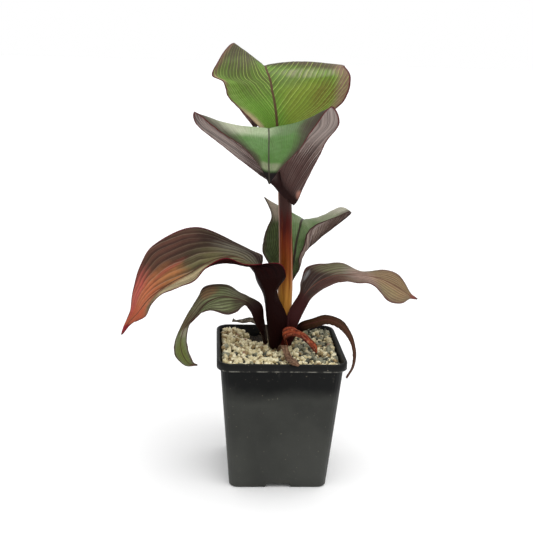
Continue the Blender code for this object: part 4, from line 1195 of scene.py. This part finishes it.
class PLANT_OT_pot(bpy.types.Operator):
    """Makes the pot's smooth black shell"""
    bl_idname = "plant.pot"
    bl_label = "Pot"

    def execute(self, context):
        dress(pot_piece(pot_plastic()), "pot_plastic", "pot")
        return {"FINISHED"}


class PLANT_OT_gravel(bpy.types.Operator):
    """Finishes the grit and lays the stones on it"""
    bl_idname = "plant.gravel"
    bl_label = "Gravel"

    def execute(self, context):
        bpy.data.objects["gritty_mix"].material_slots[0].material = mix_skin()
        for piece in gravel_pieces():
            dress(piece, "grit")
        return {"FINISHED"}


class PLANT_OT_stem(bpy.types.Operator):
    """Makes the pseudostem of rolled sheaths"""
    bl_idname = "plant.stem"
    bl_label = "Pseudostem"

    def execute(self, context):
        dress(stem_piece(stem_skin()), "stem_sheath", "pseudostem")
        return {"FINISHED"}


class PLANT_OT_leaves(bpy.types.Operator):
    """Makes the living leaves"""
    bl_idname = "plant.leaves"
    bl_label = "Leaves"

    def execute(self, context):
        sizes = context.scene.plant_sizes
        for name, changes in LEAVES.items():
            leaf = PLAIN_LEAF | changes
            surfaces = [leaf_upper(f"{name}_upper", leaf), leaf_under(f"{name}_under", leaf)]
            piece = leaf_piece(
                f"{name}_blade", STATIONS[name], leaf, surfaces, sizes.leaf_rows, sizes.leaf_cells,
            )
            dress(piece, "leaf_green", name)
        return {"FINISHED"}


class PLANT_OT_withered(bpy.types.Operator):
    """Makes the withered leaves at the foot"""
    bl_idname = "plant.withered"
    bl_label = "Withered leaves"

    def execute(self, context):
        for name, changes in WITHERED.items():
            leaf = PLAIN_WITHERED | changes
            surfaces = [withered_skin(f"{name}_skin", leaf)]
            piece = leaf_piece(
                f"{name}_strap", STATIONS[name], leaf, surfaces, DRY_ROWS, DRY_CELLS,
            )
            dress(piece, "dry_leaf", name)
        return {"FINISHED"}


class PLANT_OT_stage(bpy.types.Operator):
    """Sets the pale floor, the soft light and the camera"""
    bl_idname = "plant.stage"
    bl_label = "Stage"

    def execute(self, context):
        scene = context.scene
        paint = Finish("floor_paint").done((*scene.plant_colours.floor, 1.0), 0.9)
        bm = bmesh.new()
        bmesh.ops.create_grid(bm, x_segments=1, y_segments=1, size=FLOOR_HALF)
        object_from("floor", bm, [paint])
        scene.world = studio_world(scene.plant_sizes.sky)
        camera = camera_piece()
        for piece in (key_piece(scene.plant_sizes.key_power), camera):
            scene.collection.objects.link(piece)
        scene.camera = camera
        scene.view_settings.view_transform = "Standard"
        return {"FINISHED"}


STEPS = ("pot", "gravel", "stem", "leaves", "withered", "stage")


class PLANT_PT_panel(bpy.types.Panel):
    """Lists the plant's pieces"""
    bl_idname = "PLANT_PT_panel"
    bl_label = "Potted red banana"
    bl_space_type = "VIEW_3D"
    bl_region_type = "UI"
    bl_category = "Plant"

    def draw(self, context):
        layout = self.layout
        for group in (context.scene.plant_sizes, context.scene.plant_colours):
            for key in group.__annotations__:
                layout.prop(group, key)
        for step in STEPS:
            layout.operator(f"plant.{step}")


CLASSES = (
    PlantSizes, PlantColours, PLANT_OT_pot, PLANT_OT_gravel, PLANT_OT_stem, PLANT_OT_leaves,
    PLANT_OT_withered, PLANT_OT_stage, PLANT_PT_panel,
)


def register():
    for item in CLASSES:
        bpy.utils.register_class(item)
    bpy.types.Scene.plant_sizes = PointerProperty(type=PlantSizes)
    bpy.types.Scene.plant_colours = PointerProperty(type=PlantColours)


def unregister():
    del bpy.types.Scene.plant_colours
    del bpy.types.Scene.plant_sizes
    for item in reversed(CLASSES):
        bpy.utils.unregister_class(item)


def main():
    register()
    for step in STEPS:
        getattr(bpy.ops.plant, step)()


if __name__ == "__main__":
    main()
